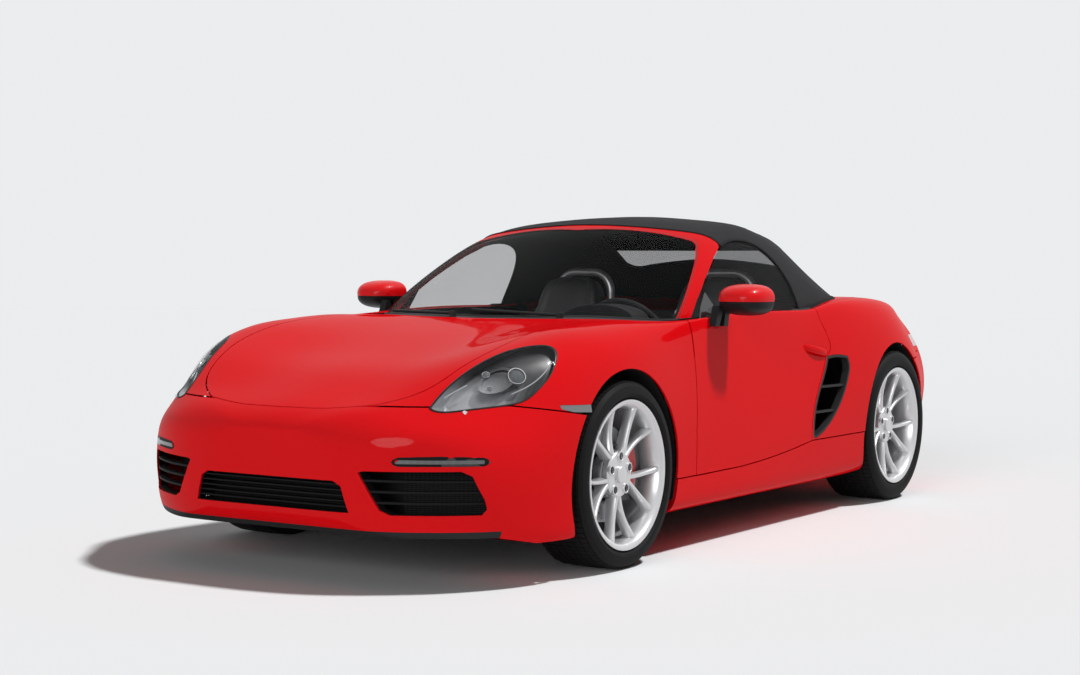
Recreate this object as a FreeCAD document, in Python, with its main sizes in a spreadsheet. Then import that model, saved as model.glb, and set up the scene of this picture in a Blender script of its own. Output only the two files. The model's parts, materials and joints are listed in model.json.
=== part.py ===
"""Two-door convertible car, full size, in millimetres.

The origin stands on the road under the middle of the car. X points to the car's left, the nose
faces -Y and Z is up. Every size stands in the spreadsheet; the outer surface is one set of
cross-sections, and all panels, glass and fabric are split out of it along the real shut lines.
"""
import FreeCAD, Part
import Sketcher
import math
import os

V = FreeCAD.Vector
doc = FreeCAD.newDocument("ConvertibleCar")

# Driving sizes of the car

SIZES = [
    ("overall_length", 4379, "nose to tail"),
    ("body_width", 1801, "over the rear wings"),
    ("overall_height", 1301, "road to the top of the closed roof"),
    ("wheelbase", 2475, "front axle to rear axle"),
    ("front_overhang", 930, "nose to front axle"),
    ("belt_height", 875, "road to the foot of the side windows"),
    ("front_track", 1515, "between the front wheels' middle planes"),
    ("rear_track", 1516, "between the rear wheels' middle planes"),
    ("front_tyre_radius", 336, "unladen outer radius"),
    ("front_tyre_width", 243, "across the sidewalls"),
    ("rear_tyre_radius", 347, "unladen outer radius"),
    ("rear_tyre_width", 272, "across the sidewalls"),
    ("front_arch_radius", 378, "edge of the front wheel arch"),
    ("rear_arch_radius", 386, "edge of the rear wheel arch"),
    ("rim_seat_radius", 254, "bead seat of a twenty inch wheel"),
    ("rim_flange_radius", 268, "outer edge of the wheel"),
    ("rim_wall", 7, "barrel wall of the wheel"),
    ("front_rim_width", 226, "over the flanges"),
    ("rear_rim_width", 255, "over the flanges"),
    ("wheel_offset", 51, "hub face outboard of the wheel's middle plane"),
    ("hub_face_radius", 78, "wheel's mounting flange"),
    ("bolt_circle_radius", 65, "five wheel bolts"),
    ("bolt_recess_radius", 13, "recess round each wheel bolt"),
    ("spoke_width", 24, "one spoke of a pair"),
    ("spoke_foot_radius", 70, "where a spoke leaves the hub"),
    ("spoke_foot_angle", 29, "degrees from the middle of its pair at the hub"),
    ("spoke_tip_angle", 18, "degrees from the middle of its pair at the rim"),
    ("spoke_dish", 16, "spoke foot inboard of the rim flange"),
    ("disc_radius", 175, "brake disc"),
    ("disc_thickness", 34, "vented brake disc"),
    ("disc_hat_radius", 88, "bell of the brake disc"),
    ("caliper_clearance", 6, "running gap round the brake disc"),
    ("skin_thickness", 8, "outer panel with its inner frame"),
    ("shut_gap", 5, "gap between neighbouring panels"),
    ("glass_thickness", 5, "window glass"),
    ("frame_thickness", 32, "windscreen pillar and header"),
    ("fabric_thickness", 14, "roof fabric with its lining"),
    ("seal_gap", 6, "gap round a moving glass"),
    ("door_inner_x", 690, "inner face of the doors from the centre line"),
    ("tub_half_width", 655, "inside half width of the cabin floor"),
    ("nose_half_width", 455, "half width of the front boot between the wheels"),
    ("tail_half_width", 560, "half width of the tub between the rear wheels"),
    ("tub_wall", 18, "wall of the floor tub"),
    ("floor_height", 158, "road to the underside of the floor"),
    ("steer_axis_x", 720, "steering axis from the centre line"),
    ("hinge_pin_radius", 7, "door hinge pin"),
    ("pin_clearance", 0.3, "running gap round a pin"),
    ("steering_wheel_radius", 182, "middle of the steering wheel's rim"),
    ("steering_grip_radius", 15, "thickness radius of the steering wheel's rim"),
    ("steering_wheel_x", 365, "steering wheel from the centre line"),
    ("seat_width", 500, "front seat"),
    ("seat_x", 365, "middle of a front seat from the centre line"),
    ("engine_width", 760, "flat engine across the car"),
    ("engine_length", 480, "flat engine along the car"),
    ("engine_height", 420, "flat engine with its intake"),
    ("tailpipe_radius", 44, "exhaust tip"),
    ("mirror_reach", 997, "outer tip of a door mirror from the centre line"),
]

sheet = doc.addObject("Spreadsheet::Sheet", "Sizes")
for line, (alias, value, meaning) in enumerate(SIZES, start=1):
    sheet.set(f"A{line}", alias)
    sheet.set(f"B{line}", str(value))
    sheet.set(f"C{line}", meaning)
    sheet.setAlias(f"B{line}", alias)
doc.recompute()

# Reference lines worked out from the sizes

NOSE_Y = -sheet.overall_length / 2
TAIL_Y = sheet.overall_length / 2
FRONT_AXLE_Y = NOSE_Y + sheet.front_overhang
REAR_AXLE_Y = FRONT_AXLE_Y + sheet.wheelbase
FRONT_AXLE_Z = sheet.front_tyre_radius
REAR_AXLE_Z = sheet.rear_tyre_radius
FRONT_WHEEL_X = sheet.front_track / 2
REAR_WHEEL_X = sheet.rear_track / 2

# The section tables below are drawn at these reference sizes and follow the sheet

DRAWN_NOSE_Y = -2189.5
DRAWN_FRONT_AXLE_Y = -1259.5
DRAWN_REAR_AXLE_Y = 1215.5
DRAWN_TAIL_Y = 2189.5
DRAWN_HALF_WIDTH = 900.5
DRAWN_BELT_Z = 875.0
DRAWN_ROOF_Z = 1301.0


def along(y):
    """Place a drawn length station on the car of this length and wheelbase."""
    stations = [
        (DRAWN_NOSE_Y, NOSE_Y),
        (DRAWN_FRONT_AXLE_Y, FRONT_AXLE_Y),
        (DRAWN_REAR_AXLE_Y, REAR_AXLE_Y),
        (DRAWN_TAIL_Y, TAIL_Y),
    ]
    for (drawn_a, real_a), (drawn_b, real_b) in zip(stations, stations[1:]):
        if y <= drawn_b or drawn_b == DRAWN_TAIL_Y:
            return real_a + (y - drawn_a) * (real_b - real_a) / (drawn_b - drawn_a)


def across(x):
    """Place a drawn distance from the centre line on the car of this width."""
    return x * sheet.body_width / 2 / DRAWN_HALF_WIDTH


def above(z):
    """Place a drawn height on the car of this belt and roof height."""
    if z <= DRAWN_BELT_Z:
        return z * sheet.belt_height / DRAWN_BELT_Z
    share = (z - DRAWN_BELT_Z) / (DRAWN_ROOF_Z - DRAWN_BELT_Z)
    return sheet.belt_height + share * (sheet.overall_height - sheet.belt_height)


def at(x, y, z):
    """Point of the car from its drawn position."""
    return V(across(x), along(y), above(z))


# Surfaces through cross-sections


def shared_parameters(rows):
    """Centripetal parameters averaged over rows of points, so that a grid interpolates evenly."""
    count = len(rows[0])
    total = [0.0] * count
    for row in rows:
        reach = [0.0]
        for start, end in zip(row, row[1:]):
            reach.append(reach[-1] + math.sqrt(max(start.distanceToPoint(end), 1e-6)))
        for i in range(count):
            total[i] += reach[i] / reach[-1]
    return [value / len(rows) for value in total]


def curve_through(points, parameters):
    curve = Part.BSplineCurve()
    curve.interpolate(Points=points, Parameters=parameters)
    return curve


def surface_through(rows):
    """B-spline surface through a grid of points, with its parameters along both directions."""
    across_parameters = shared_parameters(rows)
    along_parameters = shared_parameters([list(column) for column in zip(*rows)])
    rings = [curve_through(row, across_parameters) for row in rows]
    columns = zip(*[ring.getPoles() for ring in rings])
    lines = [curve_through(list(column), along_parameters) for column in columns]
    poles = [list(row) for row in zip(*[each.getPoles() for each in lines])]
    surface = Part.BSplineSurface()
    surface.buildFromPolesMultsKnots(
        poles,
        lines[0].getMultiplicities(),
        rings[0].getMultiplicities(),
        lines[0].getKnots(),
        rings[0].getKnots(),
        False,
        False,
        3,
        3,
    )
    return surface, along_parameters, across_parameters


def solid_through(rows):
    """Closed solid whose side passes through rings of points and whose two ends are flat."""
    surface, _, _ = surface_through(rows)
    side = surface.toShape()
    open_ring = rows[0][0].distanceToPoint(rows[0][-1]) > 0.01
    faces = [side]
    for row in (rows[0], rows[-1]):
        rim = [edge for edge in side.Edges
               if edge.BoundBox.YLength < 0.01 and abs(edge.BoundBox.YMin - row[0].y) < 0.01]
        closing = [Part.makeLine(row[-1], row[0])] if open_ring else []
        faces.append(Part.Face(Part.Wire(rim + closing)))
    if open_ring:
        feet = [edge for edge in side.Edges if edge.BoundBox.YLength > 10]
        faces.append(Part.makeRuledSurface(feet[0], feet[1]))
    shell = Part.makeShell(faces)
    shell.sewShape()
    solid = Part.Solid(shell)
    if solid.Volume < 0:
        solid.reverse()
    return solid


def moved_inward(rows, depth):
    """Rings of points moved inward from the surface by a wall, with flat ends kept flat."""
    surface, along_parameters, across_parameters = surface_through(rows)
    inner = []
    for row, u in zip(rows, along_parameters):
        middle = V(0, row[0].y, sum(point.z for point in row) / len(row))
        ring = []
        for point, v in zip(row, across_parameters):
            normal = surface.normal(u, v)
            if normal.dot(point - middle) < 0:
                normal = normal * -1
            ring.append(point - normal * depth)
        inner.append(ring)
    for ring, station in ((inner[0], rows[0][0].y + depth), (inner[-1], rows[-1][0].y - depth)):
        for point in ring:
            point.y = station
    if rows[0][0].distanceToPoint(rows[0][-1]) < 0.01:
        for ring in inner:
            ring[0].x = 0
            ring[-1] = V(ring[0])
    return inner


# Cross-sections of the lower body from nose to tail. Each line gives the station, the height on
# the centre line, then x, z of the crest, shoulder, waist, flank and lower edge, and the height
# of the underside.

BODY_SECTIONS = [
    (-2189.5, 522, 150, 518, 212, 498, 235, 430, 228, 340, 202, 300, 285),
    (-2167, 565, 270, 550, 365, 510, 393, 430, 386, 290, 352, 225, 212),
    (-2112, 601, 395, 582, 502, 532, 534, 436, 526, 260, 492, 190, 172),
    (-2000, 648, 522, 624, 632, 556, 692, 442, 686, 245, 652, 176, 156),
    (-1840, 706, 615, 716, 704, 632, 800, 468, 800, 248, 776, 152, 140),
    (-1650, 748, 680, 792, 800, 702, 866, 507, 860, 262, 842, 150, 140),
    (-1450, 788, 695, 842, 824, 768, 884, 560, 876, 280, 852, 165, 146),
    (-1259.5, 824, 705, 860, 832, 796, 887, 580, 878, 282, 857, 178, 150),
    (-1000, 862, 718, 872, 822, 818, 874, 560, 868, 282, 854, 180, 150),
    (-720, 890, 735, 868, 806, 836, 858, 520, 862, 282, 852, 180, 150),
    (-200, 905, 748, 885, 800, 860, 858, 500, 868, 284, 855, 180, 150),
    (300, 925, 745, 888, 800, 866, 868, 530, 876, 300, 857, 180, 150),
    (500, 935, 742, 897, 804, 872, 876, 560, 880, 302, 860, 181, 150),
    (700, 945, 735, 926, 812, 892, 886, 600, 884, 304, 862, 182, 150),
    (1215.5, 930, 697, 938, 812, 884, 900.5, 625, 890, 324, 862, 200, 165),
    (1600, 905, 648, 912, 726, 852, 845, 605, 838, 334, 806, 222, 180),
    (1900, 872, 562, 872, 636, 800, 736, 585, 728, 346, 700, 250, 205),
    (2060, 833, 474, 829, 590, 765, 680, 574, 662, 356, 614, 275, 228),
    (2150, 778, 354, 772, 462, 720, 537, 560, 520, 368, 470, 300, 255),
    (2189.5, 690, 205, 686, 278, 655, 318, 540, 305, 410, 266, 360, 335),
]

# Cross-sections of the closed roof and its windows: station, height on the centre line, heights
# at two rails, then x, z of the upper rail, the middle of the window and its foot.

ROOF_RAILS = (250, 480)
ROOF_SECTIONS = [
    (-900, 868, 838, 770, 600, 712, 650, 640, 690, 560),
    (-750, 958, 934, 878, 640, 812, 690, 745, 735, 660),
    (-614, 1030, 1008, 958, 668, 900, 712, 845, 750, 765),
    (-400, 1140, 1121, 1080, 657, 1024, 714, 950, 763, 880),
    (-200, 1232, 1217, 1180, 628, 1120, 702, 1003, 768, 893),
    (-60, 1270, 1257, 1227, 610, 1164, 698, 1031, 768, 900),
    (60, 1290, 1278, 1250, 604, 1182, 698, 1040, 768, 902),
    (300, 1301, 1288, 1262, 602, 1190, 700, 1042, 768, 895),
    (600, 1280, 1262, 1218, 610, 1118, 700, 1022, 764, 905),
    (740, 1244, 1226, 1185, 616, 1045, 696, 985, 750, 912),
    (1000, 1130, 1110, 1058, 626, 960, 684, 920, 722, 885),
    (1200, 1005, 988, 936, 592, 885, 646, 842, 684, 800),
    (1350, 902, 884, 826, 560, 785, 610, 740, 645, 690),
]
ROOF_SKIRT_OUT = 15
ROOF_SKIRT_DROP = 160


def body_ring(section):
    """Closed ring of points of one body section, from the keel up the right side and back."""
    y, top, xc, zc, xs, zs, xw, zw, xf, zf, xe, ze, keel = section
    edge_turn = 0.06 * xe + 8
    half = [(0, top), (xc * 0.5, top + (zc - top) * 0.3), (xc, zc), (xs, zs), (xw, zw), (xf, zf),
            (xe, ze), (xe - edge_turn, keel + 4), (xe * 0.5, keel)]
    left = [at(x, y, z) for x, z in half]
    right = [at(-x, y, z) for x, z in reversed(half[1:])]
    return [at(0, y, keel)] + right + left + [at(0, y, keel)]


def roof_ring(section):
    """Open ring of points of one roof section, from the right foot over to the left."""
    y, top, z1, z2, xr, zr, xm, zm, xb, zb = section
    half = [(0, top), (ROOF_RAILS[0], z1), (ROOF_RAILS[1], z2), (xr, zr), (xm, zm), (xb, zb),
            (xb + ROOF_SKIRT_OUT, zb - ROOF_SKIRT_DROP)]
    left = [at(x, y, z) for x, z in half]
    right = [at(-x, y, z) for x, z in reversed(half[1:])]
    return right + left


# Small makers of document objects


def feature(name, shape):
    """Free shape as an object of the document."""
    item = doc.addObject("Part::Feature", name)
    item.Shape = shape
    return item


def boolean(kind, name, base, tool):
    item = doc.addObject(kind, name)
    item.Base = base
    item.Tool = tool
    item.Refine = False
    doc.recompute()
    return item


def cut(name, base, *tools):
    """Base without each tool in turn."""
    result = base
    for number, tool in enumerate(tools, start=1):
        label = name if number == len(tools) else f"{name}_step{number}"
        result = boolean("Part::Cut", label, result, tool)
    return result


def common(name, base, tool):
    return boolean("Part::Common", name, base, tool)


def fuse(name, *items):
    item = doc.addObject("Part::MultiFuse", name)
    item.Shapes = list(items)
    item.Refine = False
    doc.recompute()
    return item


def gather(name, *items):
    """Separate solids that share one node."""
    item = doc.addObject("Part::Compound", name)
    item.Links = list(items)
    doc.recompute()
    return item


def outline(paths, place):
    """Closed wire from paths: two points make a line, more make a smooth curve."""
    edges = []
    for path in paths:
        points = [place(a, b) for a, b in path]
        if len(points) == 2:
            edges.append(Part.makeLine(points[0], points[1]))
        else:
            curve = Part.BSplineCurve()
            curve.interpolate(points)
            edges.append(curve.toShape())
    return Part.Wire(Part.__sortEdges__(edges))


def grown(paths, margin):
    """Outline moved outward by a margin, or inward if it is negative, corners kept sharp."""
    if margin == 0:
        return paths
    loop = [point for path in paths for point in path[:-1]]
    turn = sum(a[0] * b[1] - b[0] * a[1] for a, b in zip(loop, loop[1:] + loop[:1]))
    side = 1 if turn > 0 else -1
    moved = []
    for before, here, after in zip(loop[-1:] + loop[:-1], loop, loop[1:] + loop[:1]):
        normals = []
        for start, end in ((before, here), (here, after)):
            dx = end[0] - start[0]
            dy = end[1] - start[1]
            reach = math.hypot(dx, dy)
            normals.append((dy / reach * side, -dx / reach * side))
        nx = normals[0][0] + normals[1][0]
        ny = normals[0][1] + normals[1][1]
        scale = 2 * margin / max(nx * nx + ny * ny, 1)
        moved.append((here[0] + nx * scale, here[1] + ny * scale))
    result = []
    start = 0
    for path in paths:
        stop = start + len(path) - 1
        result.append([moved[i % len(moved)] for i in range(start, stop + 1)])
        start = stop
    return result


def side_prism(name, paths, x0, x1, margin=0):
    """Region seen from the side, between two distances from the centre line."""
    wire = outline(grown(paths, margin), lambda y, z: V(x0, along(y), above(z)))
    return feature(name, Part.Face(wire).extrude(V(x1 - x0, 0, 0)))


def plan_prism(name, paths, z0, z1, margin=0):
    """Region seen from above, between two heights."""
    wire = outline(grown(paths, margin), lambda x, y: V(across(x), along(y), z0))
    return feature(name, Part.Face(wire).extrude(V(0, 0, z1 - z0)))


def front_prism(name, paths, y0, y1, margin=0):
    """Region seen from the front, between two stations."""
    start = along(y0)
    wire = outline(grown(paths, margin), lambda x, z: V(across(x), start, above(z)))
    return feature(name, Part.Face(wire).extrude(V(0, along(y1) - start, 0)))


def polygon(points):
    """Paths of a closed outline of straight lines."""
    return [[a, b] for a, b in zip(points, points[1:] + points[:1])]


def both_sides(paths):
    """Paths of a half outline that starts and ends on the centre line, with its mirror image."""
    mirrored = [[(-x, y) for x, y in reversed(path)] for path in reversed(paths)]
    return paths + mirrored


def mirrored(name, item):
    """Mirror image of an object on the car's other side."""
    twin = doc.addObject("Part::Mirroring", name)
    twin.Source = item
    twin.Normal = V(1, 0, 0)
    twin.Base = V(0, 0, 0)
    doc.recompute()
    return twin


# The outer surface

body_rings = [body_ring(section) for section in BODY_SECTIONS]
roof_rings = [roof_ring(section) for section in ROOF_SECTIONS]
body_outer = feature("body_outer", solid_through(body_rings))
body_inner = feature("body_inner", solid_through(moved_inward(body_rings, sheet.skin_thickness)))
roof_outer = feature("roof_outer", solid_through(roof_rings))
body_skin = cut("body_skin", body_outer, body_inner)


def roof_shell(name, thickness):
    """Wall of the closed roof of the given thickness."""
    hollow = feature(f"{name}_hollow", solid_through(moved_inward(roof_rings, thickness)))
    return cut(name, roof_outer, hollow)


glass_shell = roof_shell("glass_shell", sheet.glass_thickness)
frame_shell = roof_shell("frame_shell", sheet.frame_thickness)
fabric_shell = roof_shell("fabric_shell", sheet.fabric_thickness)

# Wheel arches, cut through every panel

ARCH_INNER_X = 500
ARCH_OUTER_X = 1100


def arch(name, radius_alias, axle_y, axle_z):
    """Cylinders across the wheel arches of one axle."""
    cylinders = []
    for side, start in (("left", ARCH_INNER_X), ("right", -ARCH_OUTER_X)):
        cylinder = doc.addObject("Part::Cylinder", f"{name}_{side}")
        cylinder.setExpression("Radius", f"Sizes.{radius_alias}")
        cylinder.Height = ARCH_OUTER_X - ARCH_INNER_X
        cylinder.Placement = FreeCAD.Placement(
            V(start, axle_y, axle_z), FreeCAD.Rotation(V(0, 1, 0), 90)
        )
        cylinders.append(cylinder)
    return gather(name, *cylinders)


front_arches = arch("front_arches", "front_arch_radius", FRONT_AXLE_Y, FRONT_AXLE_Z)
rear_arches = arch("rear_arches", "rear_arch_radius", REAR_AXLE_Y, REAR_AXLE_Z)

# Shut lines of the body, drawn on the reference car

FAR = 1200
GAP = sheet.shut_gap

DOOR_LINES = [
    [(-668, 1060), (-668, 865)],
    [(-668, 865), (-680, 770), (-698, 640), (-727, 455)],
    [(-727, 455), (-727, 288)],
    [(-727, 288), (-368, 291)],
    [(-368, 291), (121, 326), (284, 346)],
    [(284, 346), (296, 453), (400, 597), (482, 697)],
    [(482, 697), (538, 752), (522, 806), (498, 860)],
    [(498, 860), (486, 1060)],
    [(486, 1060), (-668, 1060)],
]
SILL_LINES = polygon([(-1100, 60), (-1100, 284), (-727, 284), (-368, 287), (121, 321), (290, 342),
                      (1100, 342), (1100, 60)])
FRONT_LID_LINES = [
    [(0, -2127), (146, -2117), (262, -2100), (362, -2070)],
    [(362, -2070), (434, -2014), (504, -1934), (546, -1815), (573, -1700), (590, -1500),
     (608, -1250), (622, -1020), (640, -790)],
    [(640, -790), (560, -838), (300, -912), (0, -938)],
]
FRONT_BUMPER_LINES = polygon([(-2300, 60), (-2300, 601), (-1822, 607), (-1560, 568),
                              (-1262, 568), (-1262, 60)])
COWL_LINES = polygon([(-722, -500), (722, -500), (722, -700), (645, -800), (560, -870),
                      (300, -940), (-300, -940), (-560, -870), (-645, -800), (-722, -700)])
REAR_LID_LINES = [
    [(0, 1384), (470, 1384)],
    [(470, 1384), (512, 1500), (520, 1700), (505, 1850), (470, 2044)],
    [(470, 2044), (0, 2052)],
]
TOP_COVER_LINES = [
    [(0, 1384), (470, 1384)],
    [(470, 1384), (590, 1320), (690, 1150), (742, 900), (770, 650), (778, 500)],
    [(778, 500), (0, 500)],
]
REAR_BUMPER_LINES = polygon([(1220, 60), (2400, 60), (2400, 900), (2046, 900), (2046, 668),
                             (1900, 660), (1440, 646), (1220, 646)])
HEADLAMP_LINES = [
    [(543, 601), (545, 629), (561, 686), (594, 743), (635, 784), (689, 803), (730, 802),
     (766, 780), (786, 745), (793, 702), (784, 659), (765, 624), (716, 606), (640, 594),
     (573, 590), (543, 601)],
]
DAY_LAMP_LINES = polygon([(489, 428), (511, 446), (723, 447), (744, 430), (725, 418),
                          (495, 419)])
SIDE_INTAKE_LINES = polygon([(369, 394), (387, 399), (676, 402), (704, 386), (731, 309),
                             (735, 276), (722, 257), (474, 256), (440, 272)])
CENTRE_INTAKE_LINES = polygon([(-276, 362), (276, 362), (306, 346), (334, 258), (-334, 258),
                               (-306, 346)])
MARKER_LINES = polygon([(-1672, 607), (-1668, 592), (-1620, 580), (-1526, 575), (-1528, 603)])
SIDE_VENT_LINES = [
    [(494, 694), (640, 695), (674, 690)],
    [(674, 690), (683, 660), (673, 620)],
    [(673, 620), (579, 500), (436, 392), (334, 352)],
    [(334, 352), (302, 360), (296, 380)],
    [(296, 380), (313, 464), (412, 594), (494, 694)],
]
TAIL_LAMP_LINES = polygon([(440, 700), (452, 742), (700, 748), (762, 738), (742, 690),
                           (460, 680)])
DIFFUSER_LINES = polygon([(-520, 200), (520, 200), (480, 352), (-480, 352)])

KEEL_TOP = 178
KEEL_LINES = polygon([(-2400, 0), (-2400, KEEL_TOP), (-1910, KEEL_TOP), (-1770, 150), (-1590, 150),
                      (-1585, KEEL_TOP), (2400, KEEL_TOP), (2400, 0)])
LIP_TOP = 200
LIP_REAR_Y = -1900
SEAT_GAP = 0.3
BUMPER_LOW_LINES = polygon([(-2400, LIP_TOP + SEAT_GAP), (LIP_REAR_Y + SEAT_GAP, LIP_TOP + SEAT_GAP),
                            (LIP_REAR_Y + SEAT_GAP, 100), (2400, 100), (2400, 1400),
                            (-2400, 1400)])
DOOR_RELIEF = 12
DOOR_RELIEF_X = 775
CORNER_GAP = 9
CORNER_ROOM_Z = 730


def mirror_outline(paths):
    """Outline of the right side from that of the left."""
    return [[(-a, b) for a, b in path] for path in paths]


def both_fronts(name, paths, y0, y1, margin=0):
    """The same front outline on both sides."""
    return gather(
        name,
        front_prism(f"{name}_left", paths, y0, y1, margin),
        front_prism(f"{name}_right", mirror_outline(paths), y0, y1, margin),
    )


def region_pair(maker, name, paths, low, high):
    """A panel's region, and the same region grown by the shut gap for its neighbours."""
    return maker(name, paths, low, high), maker(f"{name}_clear", paths, low, high, GAP)


door_span, door_span_clear = region_pair(side_prism, "door_span", DOOR_LINES, -FAR, FAR)
sill_span_clear = side_prism("sill_span_clear", SILL_LINES, -FAR, FAR, GAP)
lid_span, lid_span_clear = region_pair(
    plan_prism, "lid_span", both_sides(FRONT_LID_LINES), 480, 1200
)
bumper_span, bumper_span_clear = region_pair(
    side_prism, "bumper_span", FRONT_BUMPER_LINES, -FAR, FAR
)
cowl_span, cowl_span_clear = region_pair(plan_prism, "cowl_span", COWL_LINES, 600, 1200)
tail_lid_span, tail_lid_span_clear = region_pair(
    plan_prism, "tail_lid_span", both_sides(REAR_LID_LINES), 700, 1200
)
cover_span, cover_span_clear = region_pair(
    plan_prism, "cover_span", both_sides(TOP_COVER_LINES), 650, 1200
)
tail_span, tail_span_clear = region_pair(side_prism, "tail_span", REAR_BUMPER_LINES, -FAR, FAR)
lamp_span = both_fronts("lamp_span", HEADLAMP_LINES, -2185, -1400)
lamp_glass_span = both_fronts("lamp_glass_span", HEADLAMP_LINES, -2185, -1400, -3)
day_lamp_span = both_fronts("day_lamp_span", DAY_LAMP_LINES, -2300, -1850)
side_intake_span = both_fronts("side_intake_span", SIDE_INTAKE_LINES, -2300, -1850)
centre_intake_span = front_prism("centre_intake_span", CENTRE_INTAKE_LINES, -2300, -2050)
marker_span = side_prism("marker_span", MARKER_LINES, -FAR, FAR)
vent_span = side_prism("vent_span", SIDE_VENT_LINES, -FAR, FAR)
tail_lamp_span = both_fronts("tail_lamp_span", TAIL_LAMP_LINES, 1880, 2300)
diffuser_span = front_prism("diffuser_span", DIFFUSER_LINES, 1950, 2300)


def zone(name, y0, y1, z0, z1, x0=-FAR, x1=FAR):
    """Box between two drawn stations and two drawn heights."""
    size = (x1 - x0, along(y1) - along(y0), above(z1) - above(z0))
    return feature(name, Part.makeBox(*size, V(x0, along(y0), above(z0))))


# Static panels keep clear of the doors, whose front flange is only a skin outboard of the hinge

DOOR_THIN_Y = -640
FLANGE_INNER_X = 770
door_room_core = zone("door_room_core", -900, 900, 0, 1500, -sheet.door_inner_x + GAP,
                      sheet.door_inner_x - GAP)
door_room_front = zone("door_room_front", -900, DOOR_THIN_Y - GAP, 0, 1500,
                       -FLANGE_INNER_X + GAP, FLANGE_INNER_X - GAP)
door_room = cut("door_room", door_span_clear, door_room_core, door_room_front)
corner_span = side_prism("corner_span", DOOR_LINES, -FAR, FAR, CORNER_GAP)
corner_room = common("corner_room", corner_span,
                     zone("corner_room_zone", -760, -640, CORNER_ROOM_Z, 900))

# Front of the body

keel_zone = side_prism("keel_zone", KEEL_LINES, -FAR, FAR)
upper_skin = cut("upper_skin", body_skin, keel_zone)
lip_zone = zone("lip_zone", -2400, LIP_REAR_Y, KEEL_TOP - 1, LIP_TOP)
front_lip = common("front_lip", upper_skin, lip_zone)
bumper_zone = side_prism("bumper_zone", BUMPER_LOW_LINES, -FAR, FAR)
bumper_skin = common("bumper_skin", upper_skin, bumper_zone)
bumper_blank = common("bumper_blank", bumper_skin, bumper_span)
front_bumper = cut("front_bumper", bumper_blank, lid_span_clear, front_arches, side_intake_span,
                   centre_intake_span, day_lamp_span, marker_span, lamp_span)

# Lid hinges: a short pin at each corner of the hinged edge, in the middle of the panel

LID_PIN_RADIUS = 3
LID_PIN_LENGTH = 26
FRONT_LID_PIN = (640, -797)
REAR_LID_PIN = (478, 1405)


def skin_height(x, y):
    """Height of the outer surface over a drawn point."""
    probe = Part.makeLine(at(x, y, 500), at(x, y, 1400))
    return body_outer.Shape.common(probe).BoundBox.ZMax


def lid_pins(name, place, margin):
    """Pins of a lid, or with a margin their bores in the neighbouring panels."""
    x, y = place
    height = skin_height(x - 10, y) - sheet.skin_thickness / 2
    shapes = [
        Part.makeCylinder(LID_PIN_RADIUS + margin, LID_PIN_LENGTH + 4 * margin,
                          V(start - 2 * margin, along(y), height), V(1, 0, 0))
        for start in (across(x) - 12, -across(x) - 14)
    ]
    print(name, "axis", round(along(y), 2), round(height, 2))
    return feature(name, Part.makeCompound(shapes))


front_lid_pins = lid_pins("front_lid_pins", FRONT_LID_PIN, 0)
front_lid_bores = lid_pins("front_lid_bores", FRONT_LID_PIN, sheet.pin_clearance)
rear_lid_pins = lid_pins("rear_lid_pins", REAR_LID_PIN, 0)
rear_lid_bores = lid_pins("rear_lid_bores", REAR_LID_PIN, sheet.pin_clearance)

front_lid_panel = common("front_lid_panel", upper_skin, lid_span)
front_lid = fuse("front_lid", front_lid_panel, front_lid_pins)
cowl_blank = common("cowl_blank", upper_skin, cowl_span)
cowl_panel = cut("cowl_panel", cowl_blank, lid_span_clear, roof_outer, door_room, corner_room,
                 front_lid_bores)
fender_zone = zone("fender_zone", -2400, -655, 289, 1100)
fender_blank = common("fender_blank", upper_skin, fender_zone)
fender_pair = cut("fender_pair", fender_blank, lid_span_clear, bumper_span_clear, door_room,
                  corner_room, cowl_span_clear, front_arches, lamp_span, roof_outer,
                  front_lid_bores, marker_span)
SMALLEST_PANEL = 1e5


def panels_only(name, item):
    """Solids of a cut that are whole panels, without the slivers along its edges."""
    whole = [solid for solid in item.Shape.Solids if solid.Volume > SMALLEST_PANEL]
    return feature(name, Part.makeCompound(whole))


front_fenders = panels_only("front_fenders", fender_pair)

# Lamps of the front

LENS_THICKNESS = 3
LAMP_BOWL_WALL = 3
PROJECTOR_RADIUS = 42
PROJECTOR_X = 672
PROJECTOR_Z = 690
lens_inner = feature("lens_inner", solid_through(moved_inward(body_rings, LENS_THICKNESS)))
lens_skin = cut("lens_skin", body_outer, lens_inner)
headlamp_lenses = common("headlamp_lenses", lens_skin, lamp_glass_span)
LAMP_DEPTH = 70


def lamp_body(name):
    """Left lamp housing: a floor set back from the lens, a rim up to it and the projector."""
    rim_outer = Part.Face(outline(grown(HEADLAMP_LINES, -1), lambda x, z: at(x, -2185, z)))
    rim_inner = Part.Face(outline(grown(HEADLAMP_LINES, -5), lambda x, z: at(x, -2185, z)))
    depth = V(0, along(-1400) - along(-2185), 0)
    behind = lens_inner.Shape
    floor_top = behind.translated(V(0, LAMP_DEPTH, 0))
    floor_under = behind.translated(V(0, LAMP_DEPTH + LAMP_BOWL_WALL, 0))
    tube = rim_outer.extrude(depth).cut(rim_inner.extrude(depth))
    rim = tube.common(behind).cut(floor_under)
    floor = rim_outer.extrude(depth).common(floor_top).cut(floor_under)
    projector = Part.makeCylinder(PROJECTOR_RADIUS, 200, at(PROJECTOR_X, -1700, PROJECTOR_Z),
                                  V(0, -1, 0))
    core = Part.makeCylinder(PROJECTOR_RADIUS - 8, 200, at(PROJECTOR_X, -1700, PROJECTOR_Z),
                             V(0, -1, 0))
    near = behind.translated(V(0, 12, 0))
    near_core = behind.translated(V(0, 22, 0))
    barrel = projector.common(near).cut(floor_top).cut(core.cut(near_core))
    return feature(name, rim.fuse([floor, barrel]).removeSplitter())


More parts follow.
